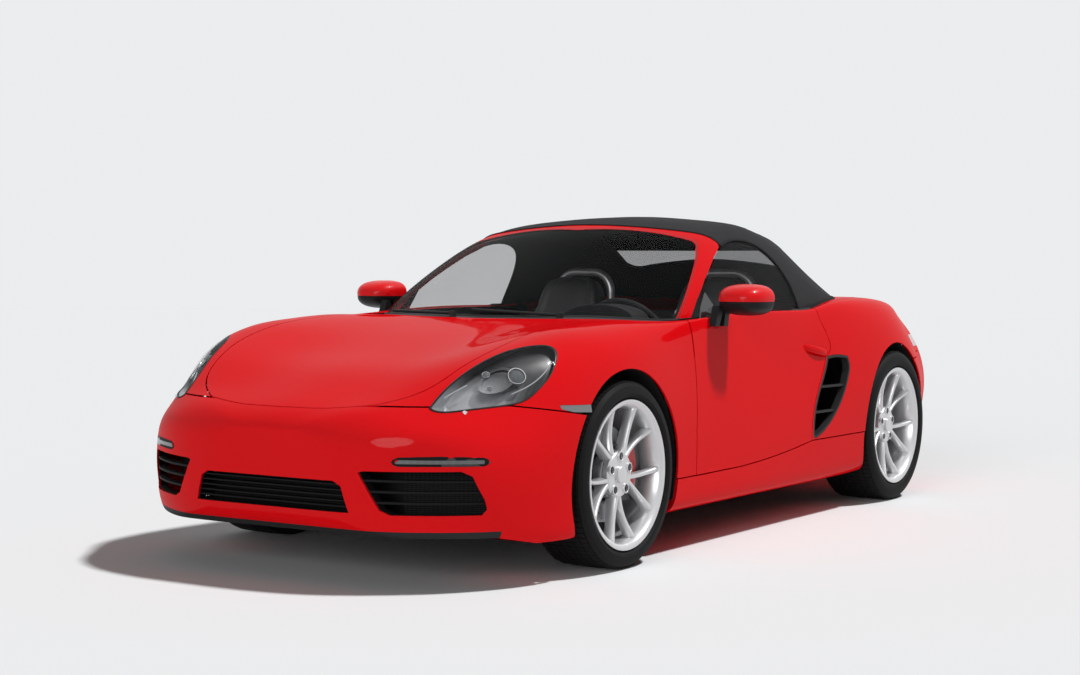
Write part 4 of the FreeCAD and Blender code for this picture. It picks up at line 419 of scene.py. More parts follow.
@dataclass(frozen=True)
class Cloth:
    """Woven roof cloth: two crossed ribs with a soft nap."""

    name: str = "roof_cloth"
    dark: tuple[float, float, float] = (0.016, 0.016, 0.017)
    light: tuple[float, float, float] = (0.034, 0.034, 0.036)
    thread: float = 0.0022

    def build(self) -> bpy.types.Material:
        """Make the material."""
        shader = Shader(self.name)
        x, y, z = shader.axes()
        turn = 2 * math.pi / self.thread
        weave = ((x * turn).sine() * 0.5 + (y * turn).sine() * 0.5 + (z * turn).sine() * 0.3)
        nap = shader.noise(900.0, 2.0)
        share = weave * 0.22 + nap * 0.5 + 0.2
        shader.put("Base Color", shader.mix(share, self.dark, self.light))
        shader.put("Roughness", shader.noise(35.0) * 0.1 + 0.86)
        shader.put("Specular IOR Level", 0.15)
        shader.bump(weave + nap * 0.8, 0.35, 0.0004)
        return shader.material


@dataclass(frozen=True)
class Moulded:
    """Moulded plastic or rubber with a fine grain."""

    name: str
    colour: tuple[float, float, float]
    roughness: float
    grain: float = 700.0
    depth: float = 0.0002
    strength: float = 0.3
    coat: float = 0.0
    shine: float = 0.2

    def build(self) -> bpy.types.Material:
        """Make the material."""
        shader = Shader(self.name)
        grain = shader.noise(self.grain, 3.0)
        wide = shader.noise(6.0, 2.0)
        lighter = tuple(min(1.0, c * 1.35 + 0.004) for c in self.colour)
        shader.put("Base Color", shader.mix(grain * 0.5 + wide * 0.3, self.colour, lighter))
        shader.put("Roughness", wide * 0.12 + (self.roughness - 0.06))
        shader.put("Coat Weight", self.coat)
        shader.put("Specular IOR Level", self.shine)
        shader.bump(grain, self.strength, self.depth)
        return shader.material


@dataclass(frozen=True)
class Metal:
    """Painted, cast or polished metal."""

    name: str
    colour: tuple[float, float, float]
    roughness: float
    metallic: float = 1.0
    coat: float = 0.0
    flake: float = 2500.0

    def build(self) -> bpy.types.Material:
        """Make the material."""
        shader = Shader(self.name)
        flake = shader.noise(self.flake, 2.0)
        wide = shader.noise(9.0, 2.0)
        darker = tuple(c * 0.86 for c in self.colour)
        shader.put("Base Color", shader.mix(flake * 0.6 + wide * 0.4, darker, self.colour))
        shader.put("Metallic", self.metallic)
        shader.put("Roughness", wide * 0.10 + (self.roughness - 0.05))
        shader.put("Coat Weight", self.coat)
        shader.put("Coat Roughness", 0.05)
        shader.bump(flake, 0.05, 0.0001)
        return shader.material


@dataclass(frozen=True)
class Glass:
    """Thin tinted glass, seen through by its alpha, with an optional black printed border."""

    name: str
    tint: tuple[float, float, float]
    alpha: float
    roughness: float = 0.02
    rim: float = 0.16
    gloss: float = 0.05
    border_z: float = 9.0

    def build(self) -> bpy.types.Material:
        """Make the material."""
        shader = Shader(self.name)
        edge = shader.node("ShaderNodeLayerWeight", Blend=0.25)
        rim = shader.wire(edge.outputs["Facing"])
        x, y, z = shader.axes()
        border = z.above(self.border_z)
        shader.put("Base Color", self.tint)
        shader.put("Roughness", shader.noise(4.0) * 0.01 + self.roughness)
        shader.put("Alpha", (rim * self.rim + border + self.alpha).held())
        shader.put("Coat Weight", self.gloss)
        shader.put("Coat Roughness", 0.01)
        shader.put("Specular IOR Level", 0.1)
        return shader.material


@dataclass(frozen=True)
class Leather:
    """Black leather with fine pores and creases."""

    name: str = "black_leather"
    colour: tuple[float, float, float] = (0.011, 0.011, 0.012)

    def build(self) -> bpy.types.Material:
        """Make the material."""
        shader = Shader(self.name)
        cells = shader.node("ShaderNodeTexVoronoi", {"feature": "DISTANCE_TO_EDGE"},
                            Vector=shader.place(), Scale=420.0)
        pores = shader.wire(cells.outputs["Distance"])
        crease = shader.noise(28.0, 5.0)
        lighter = tuple(c * 1.9 for c in self.colour)
        shader.put("Base Color", shader.mix(crease, self.colour, lighter))
        shader.put("Roughness", crease * 0.15 + 0.42)
        shader.bump(pores * 2.0 + crease * 0.4, 0.3, 0.0006)
        return shader.material


class Finishes:
    """All materials of the car, made once."""

    def __init__(self) -> None:
        """Make the materials."""
        self.paint = Paint().build()
        # A darker copy of the paint: painted shade for the hollow behind each door handle.
        self.paint_deep = Paint("deep_red_paint", (0.20, 0.002, 0.004),
                                (0.16, 0.002, 0.003)).build()
        self.door = DoorSkin().build()
        self.mirror = MirrorShell().build()
        self.day_lamp = DayLamp().build()
        self.bowl = LampBowl().build()
        self.core = CoolerCore().build()
        self.intake = Moulded("intake_slat_plastic", (0.006, 0.006, 0.0065), 0.6, 700.0,
                              shine=0.08).build()
        self.cloth = Cloth().build()
        self.cloth_dark = Cloth("roof_hem_cloth", (0.010, 0.010, 0.011),
                                (0.020, 0.021, 0.022)).build()
        self.leather = Leather().build()
        self.tyre = Moulded("tyre_rubber", (0.006, 0.006, 0.0065), 0.66, 900.0, 0.0003,
                            shine=0.1).build()
        self.seal = Moulded("rubber_seal", (0.012, 0.012, 0.013), 0.5, 600.0).build()
        self.trim = Moulded("grained_black_plastic", (0.012, 0.012, 0.013), 0.55).build()
        self.gloss = Moulded("gloss_black_plastic", (0.008, 0.008, 0.009), 0.12, 300.0, 0.00003,
                             0.1, 1.0).build()
        self.cabin = Moulded("cabin_plastic", (0.009, 0.009, 0.010), 0.7, 500.0).build()
        self.floor = Moulded("underbody_coating", (0.014, 0.014, 0.015), 0.8, 160.0,
                             0.0006).build()
        self.lamp_grey = Moulded("lamp_light_bar", (0.42, 0.43, 0.45), 0.25, 300.0, 0.00005,
                                 0.1, 0.6).build()
        self.lamp_red = Moulded("tail_lamp_red", (0.30, 0.004, 0.006), 0.18, 90.0, 0.0001,
                                0.3, 1.0).build()
        self.alloy = Metal("silver_wheel_lacquer", (0.68, 0.68, 0.69), 0.30, 0.55, 0.8).build()
        self.disc = Metal("brake_disc_iron", (0.30, 0.30, 0.31), 0.32, 0.9).build()
        self.dark_steel = Metal("dark_steel", (0.10, 0.10, 0.105), 0.5, 0.8).build()
        self.hoop = Metal("hoop_aluminium", (0.45, 0.45, 0.46), 0.35, 0.7).build()
        self.chrome = Metal("chrome", (0.82, 0.82, 0.83), 0.06, 1.0).build()
        self.exhaust = Metal("exhaust_steel", (0.55, 0.54, 0.53), 0.22, 1.0).build()
        self.engine = Metal("cast_engine_metal", (0.28, 0.28, 0.29), 0.55, 0.8).build()
        self.caliper = Moulded("red_caliper_paint", (0.50, 0.008, 0.010), 0.35, 500.0, 0.0001,
                               0.2, 0.6).build()
        self.screen = Glass("windscreen_glass", (0.010, 0.012, 0.012), 0.05).build()
        self.window = Glass("side_window_glass", (0.006, 0.007, 0.007), 0.16).build()
        self.rear_glass = Glass("rear_window_glass", (0.010, 0.011, 0.011), 0.35,
                                border_z=1.155).build()
        self.lens = Glass("clear_lamp_lens", (0.05, 0.052, 0.055), 0.04, 0.02, 0.15, 0.4).build()
        self.bulb = Glass("lamp_projector_glass", (0.22, 0.235, 0.25), 0.60, 0.03, 0.2).build()


@dataclass
class Workshop:
    """What every builder shares: the frame, the finishes and the list of pieces made."""

    frame: dict
    finish: Finishes
    made: list[bpy.types.Object] = field(default_factory=list)

    def node(self, name: str) -> bpy.types.Object:
        """A CAD node's object."""
        return self.frame["nodes"][name]

    def dress(self, names: Iterable[str], material: bpy.types.Material) -> None:
        """Give CAD nodes a finish."""
        for name in names:
            mesh = self.node(name).data
            mesh.materials.clear()
            mesh.materials.append(material)

    def piece(self, name: str, bm: bmesh.types.BMesh, material: bpy.types.Material, body: str,
              slot: str, sharp: float = 35.0) -> bpy.types.Object:
        """Turn a finished bmesh into a piece that rides on a body.

        Args:
            name: the piece's name.
            bm: its mesh, in the car's frame; it is freed here.
            material: its finish.
            body: the body that it rides on.
            slot: the record's material slot; not used.
            sharp: angle in degrees past which an edge stays sharp.

        Returns:
            The new object.
        """
        bmesh.ops.remove_doubles(bm, verts=bm.verts, dist=0.00001)
        bmesh.ops.recalc_face_normals(bm, faces=bm.faces)
        mesh = bpy.data.meshes.new(name)
        bm.to_mesh(mesh)
        bm.free()
        for polygon in mesh.polygons:
            polygon.use_smooth = True
        mesh.set_sharp_from_angle(angle=math.radians(sharp))
        mesh.materials.append(material)
        made = bpy.data.objects.new(name, mesh)
        bpy.context.scene.collection.objects.link(made)
        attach(made, body)
        self.made.append(made)
        return made

    def surface(self, names: Iterable[str]) -> BVHTree:
        """Search tree of the given CAD nodes' faces, to lay details on them."""
        bm = bmesh.new()
        for name in names:
            bm.from_mesh(self.node(name).data)
        tree = BVHTree.FromBMesh(bm)
        bm.free()
        return tree


def spun(profile: Sequence[Point], steps: int, closed: bool = True) -> bmesh.types.BMesh:
    """Turn a profile of (axial, radial) points once round the X axis.

    Args:
        profile: points of the profile in metres.
        steps: segments of the turn.
        closed: whether the profile is a loop.

    Returns:
        The turned mesh.
    """
    bm = bmesh.new()
    verts = [bm.verts.new((axial, radial, 0.0)) for axial, radial in profile]
    pairs = list(zip(verts, verts[1:]))
    if closed:
        pairs.append((verts[-1], verts[0]))
    edges = [bm.edges.new(pair) for pair in pairs]
    bmesh.ops.spin(bm, geom=verts + edges, cent=(0, 0, 0), axis=(1, 0, 0), dvec=(0, 0, 0),
                   angle=2 * math.pi, steps=steps, use_merge=True, use_duplicate=False)
    bmesh.ops.remove_doubles(bm, verts=bm.verts, dist=0.00001)
    return bm


def prism(points: Sequence[Point], lift: Point) -> bmesh.types.BMesh:
    """Flat outline pulled along a vector into a closed solid."""
    bm = bmesh.new()
    face = bm.faces.new([bm.verts.new(point) for point in points])
    pulled = bmesh.ops.extrude_face_region(bm, geom=[face], use_keep_orig=True)
    moved = [item for item in pulled["geom"] if isinstance(item, bmesh.types.BMVert)]
    bmesh.ops.translate(bm, verts=moved, vec=lift)
    return bm


def softened(bm: bmesh.types.BMesh, width: float, segments: int = 2,
             angle: float = 30.0) -> bmesh.types.BMesh:
    """Bevel every edge of a mesh that turns by more than an angle."""
    edges = [edge for edge in bm.edges
             if len(edge.link_faces) == 2 and edge.calc_face_angle(0.0) > math.radians(angle)]
    bmesh.ops.bevel(bm, geom=edges, offset=width, offset_type="OFFSET", segments=segments,
                    profile=0.5, affect="EDGES", clamp_overlap=True, material=-1)
    return bm


def moved(bm: bmesh.types.BMesh, matrix: Matrix) -> bmesh.types.BMesh:
    """Transform a whole mesh."""
    bmesh.ops.transform(bm, matrix=matrix, verts=bm.verts)
    return bm


def joined(parts: Iterable[bmesh.types.BMesh]) -> bmesh.types.BMesh:
    """Put several meshes into one; the parts are freed."""
    whole = bmesh.new()
    for part in parts:
        mesh = bpy.data.meshes.new("part")
        part.to_mesh(mesh)
        part.free()
        whole.from_mesh(mesh)
        bpy.data.meshes.remove(mesh)
    return whole


def tube(points: Sequence[Point], radius: float, closed: bool = False,
         sides: int = 10) -> bmesh.types.BMesh:
    """Round bar along a smooth line.

    Args:
        points: points of the line.
        radius: radius of the bar.
        closed: whether the line is a loop.
        sides: resolution of the bar's section.

    Returns:
        The bar's mesh, with closed ends.
    """
    curve = bpy.data.curves.new("line", "CURVE")
    curve.dimensions = "3D"
    spline = curve.splines.new("NURBS")
    spline.points.add(len(points) - 1)
    for target, point in zip(spline.points, points):
        target.co = (*point, 1.0)
    spline.order_u = 3
    spline.use_endpoint_u = not closed
    spline.use_cyclic_u = closed
    curve.resolution_u = 4
    curve.bevel_depth = radius
    curve.bevel_resolution = max(1, sides // 4)
    curve.use_fill_caps = True
    holder = bpy.data.objects.new("line", curve)
    mesh = bpy.data.meshes.new_from_object(holder)
    bm = bmesh.new()
    bm.from_mesh(mesh)
    bpy.data.objects.remove(holder)
    bpy.data.curves.remove(curve)
    bpy.data.meshes.remove(mesh)
    bmesh.ops.remove_doubles(bm, verts=bm.verts, dist=0.00002)
    return bm


def lofted(rings: Sequence[Sequence[Point]]) -> bmesh.types.BMesh:
    """Skin through closed rings of points that have the same count, with a face at both ends.

    Args:
        rings: the rings in order.

    Returns:
        The closed mesh, with its faces turned outwards.
    """
    bm = bmesh.new()
    loops = []
    for ring in rings:
        verts = [bm.verts.new(point) for point in ring]
        loops.append([bm.edges.new(pair) for pair in zip(verts, verts[1:] + verts[:1])])
    for first, second in zip(loops, loops[1:]):
        bmesh.ops.bridge_loops(bm, edges=first + second)
    for loop in (loops[0], loops[-1]):
        bmesh.ops.edgeloop_fill(bm, edges=loop)
    bmesh.ops.recalc_face_normals(bm, faces=bm.faces)
    return bm


def on_side(bm: bmesh.types.BMesh, side: Side, centre: Vector) -> bmesh.types.BMesh:
    """Place a mesh drawn outboard along +X at a wheel of either side."""
    if side is Side.RIGHT:
        bmesh.ops.scale(bm, vec=(-1, 1, 1), verts=bm.verts)
    bmesh.ops.translate(bm, vec=centre, verts=bm.verts)
    return bm


@dataclass
class WheelSet:
    """One wheel with its tyre, disc and bolts, drawn about its own centre with +X outboard."""

    shop: Workshop
    axle: Axle
    side: Side
    tyre_radius: float
    tyre_width: float
    rim_width: float
    seat_radius: float = 0.254
    flange_radius: float = 0.268
    hub_x: float = 0.051
    bolt_circle: float = 0.065
    bolts: int = 5
    pairs: int = 5
    tread_depth: float = 0.0075
    tread_bands: int = 7
    tread_edge: float = 0.022
    crown: float = 0.0022
    groove: float = 0.0016
    spoke_rings: int = 8
    spoke_foot_radius: float = 0.060
    spoke_foot_angle: float = 33.0
    spoke_closing: float = 15.0
    spoke_rise: float = 0.024
    spoke_dip: float = 0.010
    spoke_tip_drop: float = 0.014
    spoke_tip_inset: float = 0.018
    spoke_edge: float = 0.0018
    spoke_section: tuple[Point, ...] = (
        (0.0, -0.45), (0.0, 0.45), (-0.10, 0.62), (-0.55, 0.95), (-1.0, 0.80), (-1.0, -0.80),
        (-0.55, -0.95), (-0.10, -0.62))
    hub_rise: float = 0.026
    hole_rows: int = 4
    hole_lines: int = 12
    hole_start: float = 0.108
    hole_pitch: float = 0.018

    def _stock(self, name: str, bm: bmesh.types.BMesh, material: bpy.types.Material, body: str,
               slot: str, sharp: float = 35.0) -> bpy.types.Object:
        """Place a mesh at this wheel and make it a piece."""
        placed = on_side(bm, self.side, self.axle.centre(self.side))
        label = f"{name}_{self.axle.word}_{self.side.word}"
        return self.shop.piece(label, placed, material, body, slot, sharp)

    def _tyre(self) -> bmesh.types.BMesh:
        """Tyre carcass with rounded sidewalls and raised tread blocks."""
        half = self.tyre_width / 2
        bead = self.rim_width / 2 - 0.0095
        seat = self.seat_radius + 0.0006
        top = self.tyre_radius
        floor = top - self.tread_depth
        wall = self.tyre_radius - self.seat_radius
        outer = [(bead, seat), (bead + 0.004, seat + 0.010), (bead + 0.0005, seat + 0.016),
                 (half - 0.004, seat + 0.026), (half, seat + 0.42 * wall),
                 (half - 0.0015, seat + 0.60 * wall), (half - 0.006, seat + 0.76 * wall),
                 (half - 0.0125, top - 0.0125), (half - 0.020, top - 0.0075)]
        span = half - self.tread_edge
        tread = []
        for band in range(self.tread_bands + 1):
            axial = span - 2 * span * band / self.tread_bands
            tread.append((axial, floor - self.crown * (axial / span) ** 2))
        inner = [(-a, r) for a, r in reversed(outer)]
        bm = spun(outer + tread + inner, 90)
        blocks = [face for face in bm.faces
                  if face.calc_center_median().yz.length > floor - 0.004
                  and abs(face.calc_center_median().x) < span]
        bmesh.ops.inset_individual(bm, faces=blocks, thickness=self.groove, use_even_offset=True)
        tops = [face for face in blocks if face.is_valid]
        pulled = bmesh.ops.extrude_discrete_faces(bm, faces=tops)
        for face in pulled["faces"]:
            for vert in face.verts:
                crown = self.crown * (vert.co.x / span) ** 2
                scale = (top - crown) / vert.co.yz.length
                vert.co.y *= scale
                vert.co.z *= scale
        return bm

    def _rim(self) -> bmesh.types.BMesh:
        """Barrel and outer lip of the wheel."""
        half = self.rim_width / 2
        seat = self.seat_radius
        lip = self.flange_radius
        profile = [(half, lip), (half + 0.0008, lip - 0.003), (half - 0.001, lip - 0.012),
                   (half - 0.006, lip - 0.019), (half - 0.016, lip - 0.024),
                   (half - 0.036, lip - 0.030), (half - 0.060, lip - 0.0325),
                   (-half + 0.070, lip - 0.0325), (-half + 0.010, lip - 0.022),
                   (-half, lip - 0.018), (-half, lip), (-half + 0.008, lip),
                   (-half + 0.010, seat), (-half + 0.060, seat - 0.010),
                   (half - 0.040, seat - 0.010), (half - 0.0095, seat),
                   (half - 0.0075, lip - 0.002), (half - 0.004, lip + 0.0006)]
        return spun(profile, 120)

    def _spoke(self, pair_angle: float, lean: int) -> bmesh.types.BMesh:
        """One spoke, from beside its bolt to the rim, as a lofted bar with a flat crown."""
        foot_x = self.hub_x + self.spoke_rise
        tip_x = self.rim_width / 2 - self.spoke_tip_drop
        tip_radius = self.flange_radius - self.spoke_tip_inset
        rings = []
        for number in range(self.spoke_rings + 1):
            share = number / self.spoke_rings
            radius = self.spoke_foot_radius + share * (tip_radius - self.spoke_foot_radius)
            angle = pair_angle + lean * math.radians(
                self.spoke_foot_angle - self.spoke_closing * share ** 0.7)
            face_x = foot_x + share * (tip_x - foot_x)
            face_x -= self.spoke_dip * math.sin(math.pi * share)
            width = 0.0150 - 0.0035 * math.sin(math.pi * share * 0.8) + 0.004 * share ** 6
            depth = 0.030 + 0.020 * (1 - share) ** 2 + 0.012 * share ** 3
            out = Vector((0.0, math.cos(angle), math.sin(angle)))
            along = Vector((0.0, -math.sin(angle), math.cos(angle)))
            ring = []
            for drop, across in self.spoke_section:
                place = out * radius + along * (across * width)
                ring.append((face_x + drop * depth, place.y, place.z))
            rings.append(ring)
        return softened(lofted(rings), self.spoke_edge, 2, 28.0)

    def _hub(self) -> bmesh.types.BMesh:
        """Hub with a bowl for each bolt and a bare centre cap."""
        face = self.hub_x + self.hub_rise
        plate = spun([(self.hub_x, 0.0), (self.hub_x, 0.080), (face - 0.006, 0.083),
                      (face, 0.079), (face + 0.001, 0.040), (face + 0.002, 0.0)], 90,
                     closed=False)
        cap = spun([(face, 0.0), (face, 0.0315), (face + 0.010, 0.0315),
                    (face + 0.0125, 0.0290), (face + 0.0135, 0.0160), (face + 0.0140, 0.0)],
                   64, closed=False)
        parts = [plate, cap]
        for number in range(self.bolts):
            ring = spun([(face - 0.010, 0.0135), (face + 0.0045, 0.0135),
                         (face + 0.0060, 0.0150), (face + 0.0045, 0.0185),
                         (face - 0.010, 0.0200)], 32)
            parts.append(self._round_hub(ring, number))
        return joined(parts)

    def _pair_angle(self, number: int) -> float:
        """Angle of one bolt, which is the middle of its two spokes."""
        return math.radians(360.0 / self.pairs * number + 90.0)

    def _round_hub(self, bm: bmesh.types.BMesh, number: int) -> bmesh.types.BMesh:
        """Carry a mesh to one of the five bolts."""
        turn = Matrix.Rotation(self._pair_angle(number), 4, "X")
        return moved(bm, turn @ Matrix.Translation((0.0, self.bolt_circle, 0.0)))

    def _bolts(self) -> bmesh.types.BMesh:
        """Five dark wheel bolts in their bowls."""
        face = self.hub_x + self.hub_rise
        parts = []
        for number in range(self.bolts):
            bowl = spun([(face + 0.0010, 0.0), (face + 0.0010, 0.0134),
                         (face + 0.0046, 0.0134), (face + 0.0040, 0.0100),
                         (face + 0.0018, 0.0088), (face + 0.0018, 0.0)], 32, closed=False)
            head = spun([(face, 0.0), (face, 0.0078), (face + 0.0060, 0.0074),
                         (face + 0.0072, 0.0060), (face + 0.0050, 0.0040),
                         (face + 0.0050, 0.0)], 6, closed=False)
            parts += [self._round_hub(bowl, number), self._round_hub(head, number)]
        return joined(parts)

    def _disc(self) -> bmesh.types.BMesh:
        """Vented and drilled brake disc with its bell."""
        outer = DISC_FACE_X
        bell = spun([(self.hub_x - 0.001, 0.030), (self.hub_x - 0.001, 0.084),
                     (self.hub_x - 0.006, 0.0875), (outer, 0.0878), (outer - 0.008, 0.0700),
                     (outer - 0.008, 0.030)], 72)
        plates = []
        for start, width in ((outer - 0.034, 0.010), (outer - 0.010, 0.010)):
            plates.append(spun([(start, 0.095), (start, 0.1745), (start + width, 0.1745),
                                (start + width, 0.095)], 96))
        core = spun([(outer - 0.025, 0.096), (outer - 0.025, 0.168), (outer - 0.009, 0.168),
                     (outer - 0.009, 0.096)], 96)
        return joined([bell, core, *plates])

    def _drillings(self) -> bmesh.types.BMesh:
        """Dark discs on the disc's face where drilled holes would be: painted shade of the holes."""
        outer = DISC_FACE_X
        parts = []
        for line in range(self.hole_lines):
            for row in range(self.hole_rows):
                radius = self.hole_start + self.hole_pitch * row
                angle = math.radians(360.0 / self.hole_lines * line + 8.0 * row)
                hole = spun([(outer + 0.0001, 0.0), (outer + 0.0001, 0.0033),
                             (outer + 0.0006, 0.0040), (outer + 0.0003, 0.0)], 10,
                            closed=False)
                place = Matrix.Translation(
                    (0.0, radius * math.cos(angle), radius * math.sin(angle)))
                parts.append(moved(hole, place))
        return joined(parts)

    def _valve(self) -> bmesh.types.BMesh:
        """Tyre valve standing out of the rim's well."""
        stem = spun([(-0.018, 0.0), (-0.018, 0.0042), (0.0, 0.0042), (0.004, 0.0036),
                     (0.018, 0.0036), (0.019, 0.0)], 16, closed=False)
        place = Matrix.Rotation(math.radians(196), 4, "X") @ Matrix.Translation(
            (self.rim_width / 2 - 0.050, self.seat_radius - 0.026, 0.0))
        return moved(stem, place)

    def build(self) -> None:
        """Make this wheel's pieces; they stand for the plain wheel and tyre."""
        finish = self.shop.finish
        body = f"{self.axle.word}_wheel_{self.side.word}"
        tyre = self._stock("tyre_tread", self._tyre(), finish.tyre, body, "tyre_black", 24.0)
        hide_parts(f"tyre_{self.axle.word}_{self.side.word}")
        parts = [self._rim(), self._hub()]
        for number in range(self.pairs):
            pair = self._pair_angle(number)
            parts += [self._spoke(pair, -1), self._spoke(pair, 1)]
        rim = self._stock("alloy_rim", joined(parts), finish.alloy, body, "alloy_silver", 30.0)
        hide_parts(f"wheel_{self.axle.word}_{self.side.word}")
        self._stock("brake_disc", self._disc(), finish.disc, body, "alloy_silver")
        # The dark discs on the brake disc are painted shade standing in for its drilled holes.
        self._stock("disc_holes", self._drillings(), finish.dark_steel, body, "steel_dark")
        self._stock("wheel_bolts", self._bolts(), finish.dark_steel, body, "steel_dark")
        self._stock("tyre_valve", self._valve(), finish.trim, body, "trim_black")
        LOG.info("wheel %s %s", self.axle.word, self.side.word)


@dataclass
class BrakeCaliper:
    """Red fixed caliper over the rear or front edge of a disc."""

    shop: Workshop
    axle: Axle
    side: Side
    inner_radius: float = 0.104
    outer_radius: float = 0.206
    half_angle: float = 30.0
    clearance: float = 0.0065
    depth: float = 0.030

    def build(self) -> None:
        """Make the caliper as a thick arc beside the spokes."""
        bm = bmesh.new()
        low, high = DISC_FACE_X + self.clearance, DISC_FACE_X + self.depth
        points = [(low, self.inner_radius), (high - 0.006, self.inner_radius + 0.004),
                  (high, self.inner_radius + 0.016), (high, self.outer_radius - 0.030),
                  (high - 0.008, self.outer_radius - 0.008), (low, self.outer_radius - 0.004)]
        verts = [bm.verts.new((axial, radial, 0.0)) for axial, radial in points]
        face = bm.faces.new(verts)
        sweep = 2 * math.radians(self.half_angle)
        bmesh.ops.rotate(bm, verts=bm.verts, cent=(0, 0, 0),
                         matrix=Matrix.Rotation(-sweep / 2, 3, "X"))
        bmesh.ops.spin(bm, geom=[face, *face.edges, *face.verts], cent=(0, 0, 0),
                       axis=(1, 0, 0), dvec=(0, 0, 0), angle=sweep, steps=14,
                       use_merge=False, use_duplicate=False)
        bmesh.ops.recalc_face_normals(bm, faces=bm.faces)
        softened(bm, 0.003, 2, 30.0)
        if self.axle is Axle.REAR:
            bmesh.ops.scale(bm, vec=(1, -1, 1), verts=bm.verts)
        centre = self.axle.centre(self.side)
        placed = on_side(bm, self.side, centre)
        body = f"knuckle_{self.side.word}" if self.axle is Axle.FRONT else "body"
        label = f"caliper_{self.axle.word}_{self.side.word}"
        self.shop.piece(label, placed, self.shop.finish.caliper, body, "steel_dark")


def outward_skin(mesh: bpy.types.Mesh, core_z: float, share: float = 0.35, rear_y: float = 0.9,
                 rear_lean: float = 0.6) -> bmesh.types.BMesh:
    """Outer faces of a shell that arches over the cabin.

    Args:
        mesh: the shell's mesh.
        core_z: height of the line along the car that the shell arches over.
        share: how far a face must look away from that line, 1 being straight.
        rear_y: station behind which a face may also look backwards.
        rear_lean: how much that counts.

    Returns:
        The welded outer faces.
    """
    bm = bmesh.new()
    bm.from_mesh(mesh)
    bmesh.ops.remove_doubles(bm, verts=bm.verts, dist=0.00005)
    inner = []
    for face in bm.faces:
        middle = face.calc_center_median()
        away = Vector((middle.x, max(0.0, middle.y - rear_y) * rear_lean, middle.z - core_z))
        if face.normal.dot(away.normalized()) < share:
            inner.append(face)
    bmesh.ops.delete(bm, geom=inner, context="FACES")
    return bm


def place_of(item: bmesh.types.BMEdge | bmesh.types.BMVert) -> list[tuple[float, ...]]:
    """Where an edge or a point lies, to put several in an order that is the same each run."""
    verts = item.verts if isinstance(item, bmesh.types.BMEdge) else [item]
    return sorted(vert.co.to_tuple(5) for vert in verts)


def rim_loops(bm: bmesh.types.BMesh, shortest: float = 0.4) -> list[list[Vector]]:
    """Lines of points along the open edges of a sheet, longest first.

    Where a line starts and which way it runs come from the places of its edges, so that every
    run gives the same lines.

    Args:
        bm: the sheet.
        shortest: length under which a line is left out.

    Returns:
        The lines.
    """
    open_edges = {edge for edge in bm.edges if len(edge.link_faces) == 1}
    loops = []
    for first in sorted(open_edges, key=place_of):
        if first not in open_edges:
            continue
        open_edges.discard(first)
        line = sorted(first.verts, key=place_of)
        while True:
            following = [e for e in line[-1].link_edges if e in open_edges]
            if not following:
                break
            edge = min(following, key=place_of)
            open_edges.discard(edge)
            line.append(edge.other_vert(line[-1]))
        reach = sum((a.co - b.co).length for a, b in zip(line, line[1:]))
        if reach > shortest:
            loops.append((reach, [vert.co.copy() for vert in line]))
    return [line for _, line in sorted(loops, key=lambda item: -item[0])]


def thinned(points: Sequence[Vector], step: float) -> list[Vector]:
    """Points of a line no nearer to each other than a step."""
    kept = [points[0]]
    for point in points[1:]:
        if (point - kept[-1]).length >= step:
            kept.append(point)
    return kept


def signed_power(value: float, exponent: float) -> float:
    """Power of a number's size with the number's own sign, for rounded squares."""
    return math.copysign(abs(value) ** exponent, value)


def square_on(tree: BVHTree, start: Point, way: Point, spare: Point) -> Vector:
    """Point where a line meets a surface.

    Args:
        tree: the surface.
        start: point that the line starts from.
        way: direction of the line.
        spare: point to use where the line meets nothing.

    Returns:
        The point on the surface, or the spare one.
    """
    found = tree.ray_cast(Vector(start), Vector(way))
    return found[0] if found[0] is not None else Vector(spare)


